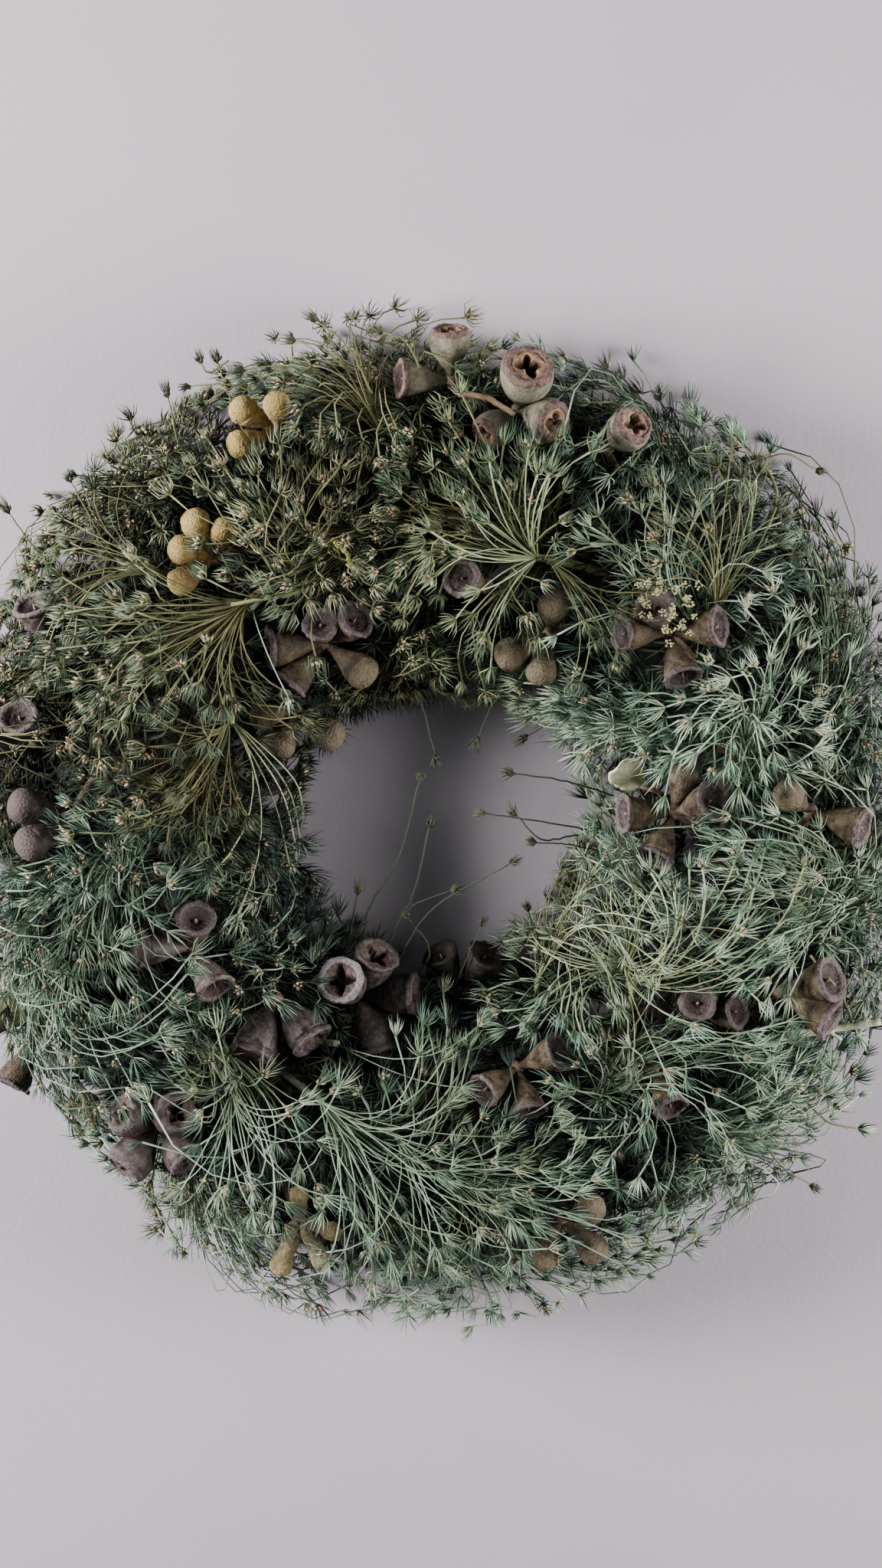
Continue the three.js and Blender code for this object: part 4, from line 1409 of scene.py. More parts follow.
@dataclass
class TipField:
    """Tuft hearts spread evenly through the foliage, clear of the gumnuts."""

    fans: Array
    layers: tuple[Layer, ...] = (
        Layer(61.5, 8.0, 7.4, (-11.0, 192.0), 42000, 16),
        Layer(52.0, 7.0, 8.0, (-12.0, 193.0), 24000, 13, 0.44),
        Layer(43.0, 8.0, 8.6, (-14.0, 195.0), 12000, 11, 0.85),
        Layer(33.0, 10.0, 9.0, (-16.0, 198.0), 9000, 9, 1.25),
        # The last two layers fill the deep gaps; the umbels darken their tufts as painted shade.
        Layer(50.0, 28.0, 6.6, (-14.0, 58.0), 22000, 8, 1.1),
        Layer(52.0, 28.0, 8.0, (160.0, 195.0), 9000, 12, 0.7),
    )
    stray_share: float = 0.05
    stray_reach: float = 8.0
    hanging_share: float = 0.3
    hanging_reach: float = 15.0
    hanging_drop: float = 4.5
    wall: float = 3.6
    sight_wall: float = 3.4
    fan_room: float = 4.6
    fan_layers: int = 3
    snug: float = 0.83
    sag: float = 5.5

    NEIGHBOURS = list(product((-1, 0, 1), repeat=3))

    def sample(self) -> dict[str, Array]:
        """Spreads the hearts.

        Returns:
            Their angles, depths, points and layers.
        """
        rng = draws(Stream.TIPS)
        tree, heights = self._flat_fans()
        kept: list[tuple[float, float, float, int]] = []
        hearts: list[Array] = []
        for number, layer in enumerate(self.layers):
            cells: dict[tuple[int, ...], list[Array]] = {}
            for p in hearts:
                cells.setdefault(tuple((p // layer.spacing).astype(int)), []).append(p)
            places, points, spacing, free = self._spread(layer, number, rng)
            for i in np.flatnonzero(free):
                p = points[i]
                if number < self.fan_layers and self._hides_fan(p, tree, heights):
                    continue
                cell = tuple((p // layer.spacing).astype(int))
                near = (
                    q
                    for dx, dy, dz in self.NEIGHBOURS
                    for q in cells.get((cell[0] + dx, cell[1] + dy, cell[2] + dz), ())
                )
                if all(np.dot(p - q, p - q) > spacing[i] ** 2 for q in near):
                    cells.setdefault(cell, []).append(p)
                    hearts.append(p)
                    kept.append((*places[i], number))
        rows = np.array(kept)
        log.info("%d tuft hearts", len(rows))
        return {
            "turn": rows[:, 0],
            "across": rows[:, 1],
            "depth": rows[:, 2],
            "layer": rows[:, 3].astype(int),
            "point": FLOW.place(rows[:, 0], rows[:, 1], rows[:, 2]),
        }

    def _spread(self, layer: Layer, number: int, rng: Rng) -> tuple[Array, ...]:
        """Draws the places that one layer's hearts may take.

        Args:
            layer: The layer.
            number: Its number.
            rng: The source of random numbers.

        Returns:
            Their turns, angles across and depths as rows, their points and spacings, and
            which of them are free.
        """
        outer, tries = number == 0, layer.tries
        turn = rng.uniform(0, 2 * np.pi, tries)
        across = np.radians(rng.uniform(*layer.across, tries))
        out = np.cos(across)
        clock = np.degrees(FLOW.leaned(turn, np.array(50.0))) % 360
        hanging = (np.abs(clock - 275) < 50) & (out > 0.8) & outer
        stray = rng.uniform(0, np.where(hanging, self.hanging_reach, self.stray_reach), tries)
        stray *= rng.uniform(size=tries) < np.where(hanging, self.hanging_share, self.stray_share)
        stray *= (out > -0.2) & outer
        stray -= self.hanging_drop * hanging
        depth = layer.depth - rng.uniform(0, layer.spread, tries) + stray
        depth -= self.sag * swell(clock, 80, 38) * out
        share = (FLOW.radius + depth * out) / (FLOW.radius + depth)
        points = FLOW.place(turn, across, depth)
        free = (rng.uniform(size=tries) < share) & off_lines(points, ROOMS, self.wall)
        free &= off_lines(points, SIGHTS, self.sight_wall)
        spacing = layer.spacing * np.where((clock > 92) & (clock < 185) & outer, self.snug, 1.0)
        return np.stack([turn, across, depth], axis=1), points, spacing, free

    def _flat_fans(self) -> tuple[kdtree.KDTree, Array]:
        """Lays the fans' points flat as the camera sees them.

        Returns:
            The flat points, and how near the camera each of them is.
        """
        tree = kdtree.KDTree(len(self.fans))
        heights = self.fans @ TOWARDS_CAMERA
        for i, (p, height) in enumerate(zip(self.fans, heights)):
            tree.insert(p - height * TOWARDS_CAMERA, i)
        tree.balance()
        return tree, heights

    def _hides_fan(self, point: Array, tree: kdtree.KDTree, heights: Array) -> bool:
        """Says whether a tuft would stand before the rays of a fan.

        Args:
            point: The tuft's heart.
            tree: The rays' points, laid flat as the camera sees them.
            heights: How near the camera each of them is.

        Returns:
            Whether it would.
        """
        height = float(point @ TOWARDS_CAMERA)
        near = tree.find_range(point - height * TOWARDS_CAMERA, self.fan_room)
        return any(height > heights[i] - 4.0 for _, i, _ in near)


@dataclass
class Umbel:
    """A dried umbel: a stem from the ring, a hub, curved rays and a tuft on each ray."""

    name: str
    at: float
    across: float
    growth: Growth
    hearts: float
    depth: float = 27.0
    ray: float = 0.25

    STEPS = 7
    SWELLING = np.array([1.2, 1.05, 1.0, 0.96, 0.98, 1.1, 1.8])
    BRIGHTEST = 0.82

    @property
    def turn(self) -> float:
        """The hub's plain angle round the ring."""
        return FLOW.plain_turn(self.at, self.depth)

    def gap(self, turn: Array) -> Array:
        """Says how far round the ring some tips are from the hub."""
        return np.arctan2(np.sin(turn - self.turn), np.cos(turn - self.turn))

    def distance(self, turn: Array, across: Array) -> Array:
        """Says how far some tips are from the hub, along the foliage."""
        round_ = self.gap(turn) * (FLOW.radius + 40 * np.cos(across))
        return np.hypot(round_, 42 * (across - math.radians(self.across)))

    def build(self, tips: dict[str, Array], layers: tuple[Layer, ...], rng: Rng) -> Piece:
        """Makes the umbel.

        Args:
            tips: The hearts that belong to it.
            layers: The layers of the foliage.
            rng: The source of random numbers.

        Returns:
            The piece.
        """
        skin = Skin()
        stem = FLOW.stem_path(self.turn, math.radians(self.across), self.depth, 6)
        skin.tubes(stem[None], 1.45, 8, Green.STALK, 0.2, 0.4)
        HUB.grow(skin, stem[-1], unit(stem[-1] - stem[-2]), Green.STALK, rng)
        seen = FLOW.leaned(tips["turn"], tips["depth"])
        facing = np.stack([FLOW.outward(a, b) for a, b in zip(seen, tips["across"])])
        rays = self._rays(tips, stem[-1], facing, rng)
        # Each tuft's paleness, with painted shade and painted light by its depth and place.
        luck = self._paleness_with_painted_light(tips, (np.degrees(seen) + 360) % 360, rng)
        free = off_lines(rays[:, 2:], ROOMS, 0.3).all(axis=1)
        free &= off_lines(rays[:, 3:], SIGHTS, -2.5).all(axis=1)
        self._stalks(skin, rays, tips["layer"], luck, free)
        look = 0.22 if self.growth is Growth.SAGE else 0.5
        ahead = unit(rays[:, -1] - rays[:, -3])
        headings = unit(ahead + look * facing + rng.normal(0, 0.18, facing.shape))
        groups = [((tips["layer"] == i) & free, layer.tuft()) for i, layer in enumerate(layers)]
        first, form = groups[0][0], TUFTS[self.growth]
        closed = TuftForm(form.needles, 0.84 * form.length, form.opening * 0.85, form.thickness)
        rim = tips["across"] < 0.5
        groups[:1] = [(first & ~rim, form), (first & rim, closed)]
        for some, kind in groups:
            if some.any():
                kind.grow(skin, rays[some, -1], headings[some], luck[some], rng)
        seeded = (rng.uniform(size=len(rays)) < self.hearts) & first
        if seeded.any():
            HEARTS.grow(skin, rays[seeded, -1], headings[seeded], rng, Green.HEART)
        stalks = "olive_stalks" if self.growth in (Growth.OLIVE, Growth.MOSS) else "silver_stalks"
        finishes = FINISHES.pick(f"{self.growth.value}_needles", stalks, "tan_hearts")
        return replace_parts(skin.piece(f"{self.name}_fine", finishes, "umbels"), self.name)

    def _rays(
        self, tips: dict[str, Array], centre: Array, facing: Array, rng: Rng
    ) -> Array:
        """Curves a ray from the hub to each tip.

        Args:
            tips: The hearts that belong to it.
            centre: The hub.
            facing: The direction out of the foliage at each tip.
            rng: The source of random numbers.

        Returns:
            The rays' points, as rays by points by three.
        """
        count = len(tips["turn"])
        angle = math.radians(self.across)
        risen = rng.uniform(0.62, 0.98, count)
        part = rng.uniform(0.36, 0.5, count)
        bend = FLOW.place(
            self.turn + self.gap(tips["turn"]) * part + rng.normal(0, 0.012, count),
            angle + (tips["across"] - angle) * part + rng.normal(0, 0.025, count),
            self.depth + (tips["depth"] - self.depth) * risen,
        )
        end = tips["point"]
        start = centre + unit(bend - centre) * HUB.radius * 0.5
        middle = 2 * bend - (start + end) / 2
        t = np.linspace(0, 1, self.STEPS)[None, :, None]
        rays = (1 - t) ** 2 * start[:, None] + 2 * t * (1 - t) * middle[:, None] + t**2 * end[:, None]
        reach = np.linalg.norm(end - centre, axis=1, keepdims=True)
        bow = rng.choice([-0.13, 0.13]) + rng.normal(0, 0.08, (count, 1))
        aside = unit(np.cross(facing, end - centre)) * reach * bow
        wave = rng.normal(0, 0.5, (count, 1, 3)) * np.sin(2 * math.pi * t)
        return FLOW.settle(rays + (aside[:, None] * np.sin(math.pi * t) + wave))

    @staticmethod
    def _paleness_with_painted_light(tips: dict[str, Array], clock: Array, rng: Rng) -> Array:
        """Gives each tuft its paleness by chance, with painted shade and painted light by its depth and its
        place on the wreath.

        Args:
            tips: The hearts.
            clock: Their clock angles, in degrees.
            rng: The source of random numbers.

        Returns:
            A number from about 0 for dark to 1 for pale.
        """
        across = tips["across"]
        # Painted shade: the deeper a tuft lies, the darker it is.
        luck = rng.beta(1.6, 1.5, len(across)) * (0.10 + 0.90 * eased(tips["depth"], 42, 16) ** 1.3)
        # Paler towards the right: partly the paler foliage there, partly painted light on the side that the key
        # light leaves in shade.
        right = np.clip(np.cos(np.radians(clock - 8)), 0, 1) ** 2.2 * eased(across, 0.4, 0.7)
        # Painted light on the upper part of the ring, where the tufts lie in shade.
        upper = swell(clock, 82, 36)
        luck = luck * (1 + 0.85 * right + 0.25 * upper) + 0.06 * right + 0.08 * upper
        # Painted shade on the outer rim at the upper right.
        rim = eased(across, 1.0, -0.6) * ((clock < 75) | (clock > 330))
        luck = luck * (1 - 0.6 * rim)
        # Paler at the bottom's outer side.
        below = swell(clock, 272, 40) * eased(across, 1.2, -0.5)
        luck = luck * (1 + 0.2 * below) + 0.02 * below
        # Painted shade on the inner edge of the left half, beside the shaded hole, and on the two deepest
        # filler layers.
        inner = eased(across, 2.45, 0.4) * ((clock > 95) & (clock < 245))
        # Darker on the left: partly the darker foliage there, partly painted shade against the key light that
        # falls on that side.
        left = (clock > 150) & (clock < 190)
        luck = luck * (1 - 0.8 * inner) * np.where(tips["layer"] > 3, 0.35, 1.0)
        return luck * np.where(left, 0.8, 1.0)

    def _stalks(
        self, skin: Skin, rays: Array, layer: Array, luck: Array, free: Array
    ) -> None:
        """Adds the rays' stalks, with fewer points where they lie deep.

        Args:
            skin: Where they go.
            rays: The rays' points.
            layer: The number of each one's layer.
            luck: How pale each one is, with its painted shade and painted light.
            free: Which of them keep clear of the gumnuts.
        """
        along = np.linspace(0, 1, self.STEPS)[None]
        radii = self.ray * self.SWELLING
        shown = (
            (layer == 0, list(range(self.STEPS))),
            (layer == 1, [0, 2, 3, 4, 6]),
            (layer > 1, [0, 3, 6]),
        )
        for some, kept in shown:
            some = some & free
            if some.any():
                # The stalks take their tuft's paleness, its painted shade and painted light included.
                tone_with_painted_light = np.clip(0.85 * luck[some] + 0.03, 0, self.BRIGHTEST)[:, None]
                skin.tubes(rays[some][:, kept], radii[kept], 3, Green.STALK, along[:, kept], tone_with_painted_light)


@dataclass
class Fan:
    """An umbel that lies on the foliage, with its rays fanned out over it."""

    name: str
    at: float
    across: float
    facing: float
    spread: float
    rays: int
    length: float
    growth: Growth = Growth.SAGE
    depth: float = 50.0
    end_depth: float = 63.0
    ray: float = 0.27
    pale: float = 0.62
    curve: float = 0.0
    splay: float = 0.22
    unruly: float = 0.2
    hidden: int = 0
    stalks: str = "silver_stalks"

    SUNK = 6.0  # how far the hub lies below the fan's depth
    TUBE = 56.0  # the radius of the foliage that the rays lie on
    TUFT_FROM = 7  # the step from which a ray's own tuft covers it
    SWELLING = np.array([1.3, 1.1, 1.0, 0.95, 0.9, 0.9, 0.95, 1.1, 1.8])

    def paths(self) -> Array:
        """Lays out the rays.

        Returns:
            Their points, as rays by points by three.
        """
        rng = draws(Stream.FAN_RAYS, name_sum(self.name))
        n = self.rays
        order = np.linspace(-1, 1, n)
        half = math.radians(self.spread) / 2
        bearing = math.radians(self.facing - self.at) + half * order + rng.normal(0, 0.07, n)
        length = self.length * rng.uniform(0.55, 1.12, n)
        t = np.linspace(0, 1, len(self.SWELLING))[None]
        bow = rng.normal(0, self.unruly, (n, 1)) + self.curve + self.splay * order[:, None]
        bent = bearing[:, None] + bow * (t - 0.3) * 2
        along = length[:, None] * t
        rise = 1 - (1 - t) ** rng.uniform(1.6, 2.8, (n, 1))
        low = self.depth - self.SUNK
        depth = low + (self.end_depth - self.depth + self.SUNK + rng.uniform(-4, 2.5, (n, 1))) * rise
        back = FLOW.sweep(depth) - FLOW.sweep(np.array(low))
        across = math.radians(self.across) - along * np.cos(bent) / self.TUBE
        radius = FLOW.radius + self.TUBE * np.cos(math.radians(self.across))
        turn = FLOW.plain_turn(self.at, low) + (along * np.sin(bent)) / radius - back / FLOW.radius
        laid = FLOW.settle(FLOW.place(turn, np.clip(across, -0.2, 3.36), depth))
        free = off_lines(laid[:, 1:], ROOMS, 0.5) & off_lines(laid[:, 1:], SIGHTS, -1.0)
        return laid[free.all(axis=1)]

    def bare(self) -> Array:
        """Gives the points of the rays that no tuft may stand before."""
        return self.paths()[:, self.hidden : self.TUFT_FROM].reshape(-1, 3)

    def build(self) -> Piece:
        """Makes the fan.

        Returns:
            The piece.
        """
        rng = draws(Stream.FAN_TUFTS, name_sum(self.name))
        skin = Skin()
        rays = self.paths()
        n = len(rays)
        turn = FLOW.plain_turn(self.at, self.depth - self.SUNK)
        stem = FLOW.stem_path(turn, math.radians(self.across), self.depth - self.SUNK + 1)
        skin.tubes(stem[None], 1.3, 8, Green.STALK, 0.2, 0.7)
        chance = self.pale * rng.uniform(0.45, 1.12, n)
        along = np.linspace(0, 1, len(self.SWELLING))[None]
        skin.tubes(rays, self.ray * self.SWELLING, 3, Green.STALK, along, chance[:, None])
        ahead = unit(rays[:, -1] - rays[:, -3])
        headings = unit(ahead + 0.18 * TOWARDS_CAMERA + rng.normal(0, 0.15, (n, 3)))
        TUFTS[self.growth].grow(skin, rays[:, -1], headings, chance, rng)
        seeded = rng.uniform(size=n) < 0.25
        if seeded.any():
            HEARTS.grow(skin, rays[seeded, -1], headings[seeded], rng, Green.HEART)
        stalks = "olive_stalks" if self.growth is Growth.OLIVE else self.stalks
        finishes = FINISHES.pick(f"{self.growth.value}_needles", stalks, "tan_hearts")
        return skin.piece(self.name, finishes, "umbels")


@dataclass(frozen=True)
class Cane:
    """One cane: its number and radius, and how it winds round the ring's centre line."""

    number: int
    phase: float
    away: float
    radius: float
    winds: int


@dataclass
class VineRing:
    """The ring of twisted canes that carries everything."""

    height: float = 12.4
    canes: int = 6
    cane_radius: float = 5.4
    wind_radius: float = 6.9
    winds: int = 7
    thin_radius: float = 1.1
    thin_wind_radius: float = 11.6
    thin_winds: tuple[int, ...] = (5, -6, 8, -9)
    steps: int = 160
    sides: int = 8

    def build(self) -> Piece:
        """Makes the ring.

        Returns:
            The piece.
        """
        rng = draws(Stream.RING)
        skin = Skin()
        for k, phase in enumerate(ring_angles(self.canes)):
            self._add(skin, Cane(k, phase, self.wind_radius, self.cane_radius, self.winds), rng)
        for k, winds in enumerate(self.thin_winds):
            phase = 1.1 + 1.57 * k
            self._add(skin, Cane(10 + k, phase, self.thin_wind_radius, self.thin_radius, winds), rng)
        piece = skin.piece("vine_ring_canes", FINISHES.pick("vine_bark"), "vine")
        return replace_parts(piece, "vine_ring")

    def _add(self, skin: Skin, cane: Cane, rng: Rng) -> None:
        """Adds one cane as a closed loop.

        Args:
            skin: Where it goes.
            cane: The cane.
            rng: The source of random numbers.
        """
        turn, number = ring_angles(self.steps), cane.number
        wobble = 0.25 * np.sin(3 * turn + number) + 0.15 * np.sin(5 * turn + 2 * number)
        wind = cane.phase + cane.winds * turn + wobble
        out = cane.away + 0.5 * np.sin(4 * turn + number)
        r = FLOW.radius + out * np.cos(wind)
        height = self.height + out * np.sin(wind)
        centre = np.stack([r * np.cos(turn), r * np.sin(turn), height], axis=1)
        ahead = unit(np.roll(centre, -1, axis=0) - np.roll(centre, 1, axis=0))
        outward = np.stack([np.cos(turn), np.sin(turn), np.zeros_like(turn)], axis=1)
        first = unit(outward - (outward * ahead).sum(1, keepdims=True) * ahead)
        second = np.cross(ahead, first)
        angle = ring_angles(self.sides)
        ridges = np.cos(3 * angle + number)[None]
        thick = cane.radius * (1 + 0.05 * rng.standard_normal((self.steps, 1)) + 0.07 * ridges)
        points = centre[:, None] + thick[..., None] * spokes(angle, first[:, None], second[:, None])
        points[..., 2] = np.maximum(points[..., 2], 0.0)
        faces = np.concatenate([band(i, self.sides) for i in range(self.steps)])
        skin.add(points, [faces % (self.steps * self.sides)], 0, 0.5, 0.5)


@dataclass
class Leaf:
    """A dried leaf on a short stalk."""

    name: str
    at: float
    across: float
    depth: float
    bearing: float
    rise: float
    length: float
    width: float
    finish: str
    torn: bool = False

    ROWS = 15
    COLUMNS = 9
    HALF_THICK = 0.28
    WHOLE = ([0, 0.08, 0.25, 0.5, 0.75, 0.93, 1], [0.10, 0.42, 0.86, 1.0, 0.78, 0.36, 0.06])
    TORN = ([0, 0.1, 0.3, 0.6, 0.85, 1], [0.35, 0.7, 0.95, 1.0, 0.85, 0.5])

    def build(self) -> Piece:
        """Makes the leaf.

        Returns:
            The piece.
        """
        rng = draws(Stream.LEAVES, len(self.name))
        skin = Skin()
        turn = FLOW.plain_turn(self.at, self.depth)
        path = FLOW.stem_path(turn, math.radians(self.across), self.depth + 0.6)
        skin.tubes(path[None], 0.9, 8, 1, 0.3, 0.5)
        way = headed(self.bearing, self.rise)
        side = unit(np.cross(way, np.array([0.0, 0.0, 1.0])))
        up = np.cross(way, side)
        s = np.linspace(0, 1, self.ROWS)
        t = np.linspace(-1, 1, self.COLUMNS)
        half = np.interp(s, *(self.TORN if self.torn else self.WHOLE))[:, None]
        edge = half * (1 + 0.07 * rng.standard_normal((len(s), len(t))) * (np.abs(t) > 0.9))
        out = edge * t[None] * self.width / 2
        foot = over(self.at, self.across, self.depth)
        flat = foot + (s * self.length)[:, None, None] * way + out[..., None] * side
        fold = 0.16 * self.width * np.abs(t)[None] ** 1.4 * half
        droop = -0.12 * self.length * s[:, None] ** 2
        ripple = 0.35 * np.sin(9 * s[:, None] + 2 * t[None]) * np.abs(t)[None]
        sheets = []
        for lift in (-self.HALF_THICK, self.HALF_THICK):
            rib = 0.25 * swell(t, 0, 0.12) * np.sign(lift)
            sheets.append(flat + (fold + droop + ripple + rib + lift)[..., None] * up)
        skin.add(np.stack(sheets), self._faces(len(s), len(t)), 0, 0.5, 0.5)
        finishes = FINISHES.pick(self.finish, "brown_twig")
        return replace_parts(skin.piece(f"{self.name}_fine", finishes, self.name), self.name)

    @staticmethod
    def _faces(rows: int, columns: int) -> list[Array]:
        """Numbers the faces of two sheets that are joined along their edges.

        Args:
            rows: The rows of corners in a sheet.
            columns: The corners in a row.

        Returns:
            The arrays of corner numbers.
        """
        i, j = np.meshgrid(np.arange(rows - 1), np.arange(columns - 1), indexing="ij")
        a = (i * columns + j).ravel()
        under = np.stack([a, a + 1, a + columns + 1, a + columns], axis=1)
        upper = under[:, ::-1] + rows * columns
        edges = [
            np.arange(columns),
            np.arange(1, rows) * columns + columns - 1,
            (rows - 1) * columns + np.arange(columns - 2, -1, -1),
            np.arange(rows - 2, 0, -1) * columns,
        ]
        ring = np.concatenate(edges)
        after = np.roll(ring, -1)
        rim = np.stack([after, ring, ring + rows * columns, after + rows * columns], axis=1)
        return [under, upper, rim]


@dataclass
class CutTwig:
    """A pale twig with a clean cut end and a snag."""

    at: float = -29.0
    across: float = 47.0
    depth: float = 48.0
    bearing: float = 12.0
    rise: float = 8.0
    length: float = 34.0
    radius: float = 1.6
    sunk: float = 1.5

    KNOTTY = ([0, 0.3, 0.36, 0.42, 0.74, 0.79, 0.84, 1], [1, 0.95, 1.16, 0.93, 0.88, 1.1, 0.86, 0.86])
    SNAGS = ((0.38, 1, 7.0), (0.8, -1, 4.5))

    def build(self) -> Piece:
        """Makes the twig.

        Returns:
            The piece.
        """
        rng = draws(Stream.TWIG)
        skin = Skin()
        turn = FLOW.plain_turn(self.at, self.depth)
        stem = FLOW.stem_path(turn, math.radians(self.across), self.depth)
        skin.tubes(stem[None], 1.45, 8, 0, 0.3, 0.5)
        foot = over(self.at, self.across, self.depth)
        way = headed(self.bearing, self.rise)
        t = np.linspace(-self.sunk / self.length, 1, 16)
        path = foot + (t * self.length)[:, None] * way
        path[1:-1] += rng.normal(0, 0.16, (len(t) - 2, 3))
        skin.tubes(path[None], self.radius * np.interp(t, *self.KNOTTY), 12, 0, 0.6, 0.6)
        side = unit(np.cross(way, TOWARDS_CAMERA))
        for share, sign, reach in self.SNAGS:
            start = foot + way * self.length * share
            end = start + (0.75 * way + sign * 0.65 * side + 0.2 * TOWARDS_CAMERA) * reach
            snag = start + np.linspace(0, 1, 5)[:, None] * (end - start)
            skin.tubes(snag[None], np.linspace(0.85, 0.55, 5), 8, 0, 0.6, 0.6)
        piece = skin.piece("cut_twig_fine", FINISHES.pick("green_twig"), "cut_twig")
        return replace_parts(piece, "cut_twig")


class Head(Enum):
    """What a lone sprig ends in."""

    BARE = "nothing"
    DARK = "a small dark head"
    PALE = "a pale tuft"
    FLORETS = "a few florets"


class SprigPart(IntEnum):
    """The finishes of a group of sprigs, by their number."""

    STALK = 0
    SEED = 1
    NEEDLE = 2
    FLORET = 3


@dataclass
class Sprig:
    """A lone stem: the points it passes, what it ends in and its thickness."""

    knots: list[Point | Array]
    head: Head = Head.DARK
    thick: float = 0.32


@dataclass
class SprigGroup:
    """Lone sprigs of one kind, as one piece."""

    name: str
    sprigs: list[Sprig]
    stalk: str = "olive_stalks"

    FLORETS = 4
    FLORET_CROWD = np.array([1, 1, 0.5])

    def build(self) -> Piece:
        """Makes the group.

        Returns:
            The piece.
        """
        rng = draws(Stream.SPRIGS, name_sum(self.name))
        skin = Skin()
        for sprig in self.sprigs:
            path = smooth_path(np.array(sprig.knots), 6 * len(sprig.knots))
            path[1:-1] += rng.normal(0, 0.12, (len(path) - 2, 3))
            girth = sprig.thick * np.linspace(1.25, 0.9, len(path))
            skin.tubes(path[None], girth, 5, SprigPart.STALK, np.linspace(0, 1, len(path)), 0.4)
            self._head(skin, sprig.head, path, rng)
        finishes = FINISHES.pick(self.stalk, "dark_seeds", "sage_needles", "floret_cream")
        return skin.piece(self.name, finishes, "umbels")

    def _head(self, skin: Skin, head: Head, path: Array, rng: Rng) -> None:
        """Adds the head at a stem's end.

        Args:
            skin: Where it goes.
            head: Its kind.
            path: The stem.
            rng: The source of random numbers.
        """
        end = path[-1:]
        way = unit(path[-1:] - path[-3:-2])
        luck = rng.uniform(0.5, 0.95, 1)
        if head is Head.DARK:
            DARK_HEAD.grow(skin, end, way, luck, rng, SprigPart.SEED)
            DARK_SEEDS.grow(skin, end, way, rng, SprigPart.SEED)
        if head is Head.PALE:
            PALE_HEAD.grow(skin, end, way, np.array([0.92]), rng, SprigPart.NEEDLE)
        if head is Head.FLORETS:
            hearts = end + rng.normal(0, 2.0, (self.FLORETS, 3)) * self.FLORET_CROWD
            ways = unit(way + rng.normal(0, 0.5, (self.FLORETS, 3)))
            FLORET.grow(skin, hearts, ways, rng, SprigPart.FLORET)


@dataclass
class Catkin:
    """A short string of small yellow-green lumps that hangs between the tufts."""

    start: Array
    end: Array
    lumps: int = 22
    bend: float = 1.2

    def build(self) -> Piece:
        """Makes the catkin.

        Returns:
            The piece.
        """
        rng = draws(Stream.CATKIN)
        skin = Skin()
        t = np.linspace(0, 1, self.lumps)[:, None]
        path = self.start * (1 - t) + self.end * t
        path += self.bend * np.sin(3 * t) * np.array([1.0, 0.2, 0.0])
        skin.tubes(path[None, ::5], 0.4, 6, 0, 0.5, 0.3)
        ways = unit(rng.normal(0, 1, (self.lumps, 3)))
        CATKIN_LUMPS.grow(skin, path, ways, rng, 0)
        return skin.piece("catkin", FINISHES.pick("catkin_skin"), "umbels")


@dataclass(frozen=True)
class Lamp:
    """A soft square light: its place and size in metres, and its power in watts."""

    name: str
    where: Point
    power: float
    size: float
    colour: Colour


@dataclass
class Studio:
    """The floor, the lights and the camera."""

    lens: float = 50.0
    distance: float = 853.0
    shift: tuple[float, float] = (-0.001, 0.0247)
    clip: tuple[float, float] = (0.01, 20.0)
    aim_height: float = 12.5
    floor_half: float = 2.5
    lamps: tuple[Lamp, ...] = (
        Lamp("key_light", (-1.08, 0.27, 0.53), 55.0, 0.5, (1.0, 0.985, 0.96)),
        Lamp("side_light", (1.12, 0.04, 0.45), 36.0, 0.6, (1.0, 0.985, 0.94)),
    )
    air: Colour = (0.72, 0.80, 0.95)
    ambient: float = 0.075

    def build(self) -> None:
        """Sets up the studio."""
        aim = Vector((RING_CENTRE + [0, 0, self.aim_height]) * METRES)
        self._floor()
        for lamp in self.lamps:
            self._light(lamp, aim)
        world = bpy.data.worlds.new("studio_air")
        world.use_nodes = True
        air = world.node_tree.nodes["Background"]
        air.inputs["Color"].default_value = (*self.air, 1.0)
        air.inputs["Strength"].default_value = self.ambient
        bpy.context.scene.world = world
        self._camera(aim)
        log.info("studio ready")

    def _camera(self, aim: Vector) -> None:
        """Sets up the camera.

        Args:
            aim: What it looks at.
        """
        data = bpy.data.cameras.new("camera")
        data.lens = self.lens
        data.shift_x, data.shift_y = self.shift
        data.clip_start, data.clip_end = self.clip
        camera = bpy.data.objects.new("camera", data)
        bpy.context.scene.collection.objects.link(camera)
        back = Vector(TOWARDS_CAMERA)
        camera.location = aim + back * self.distance * METRES
        right = Vector((1.0, 0.0, 0.0))
        turned = Matrix((right, back.cross(right), back)).transposed()
        camera.rotation_mode = "QUATERNION"
        camera.rotation_quaternion = turned.to_quaternion()
        bpy.context.scene.camera = camera

    def _floor(self) -> None:
        """Lays the floor."""
        mesh = bpy.data.meshes.new("floor")
        half = self.floor_half
        corners = [(-half, -half, 0), (half, -half, 0), (half, half, 0), (-half, half, 0)]
        mesh.from_pydata(corners, [], [(0, 1, 2, 3)])
        mesh.materials.append(FINISHES.made["pale_floor"])
        floor = bpy.data.objects.new("floor", mesh)
        bpy.context.scene.collection.objects.link(floor)

    @staticmethod
    def _light(lamp: Lamp, aim: Vector) -> None:
        """Adds a soft light.

        Args:
            lamp: Its place, size, power and colour.
            aim: What it shines on.
        """
        data = bpy.data.lights.new(lamp.name, "AREA")
        data.energy = lamp.power
        data.size = lamp.size
        data.color = lamp.colour
        light = bpy.data.objects.new(lamp.name, data)
        light.location = lamp.where
        light.rotation_mode = "QUATERNION"
        light.rotation_quaternion = (Vector(lamp.where) - aim).to_track_quat("Z", "Y")
        bpy.context.scene.collection.objects.link(light)


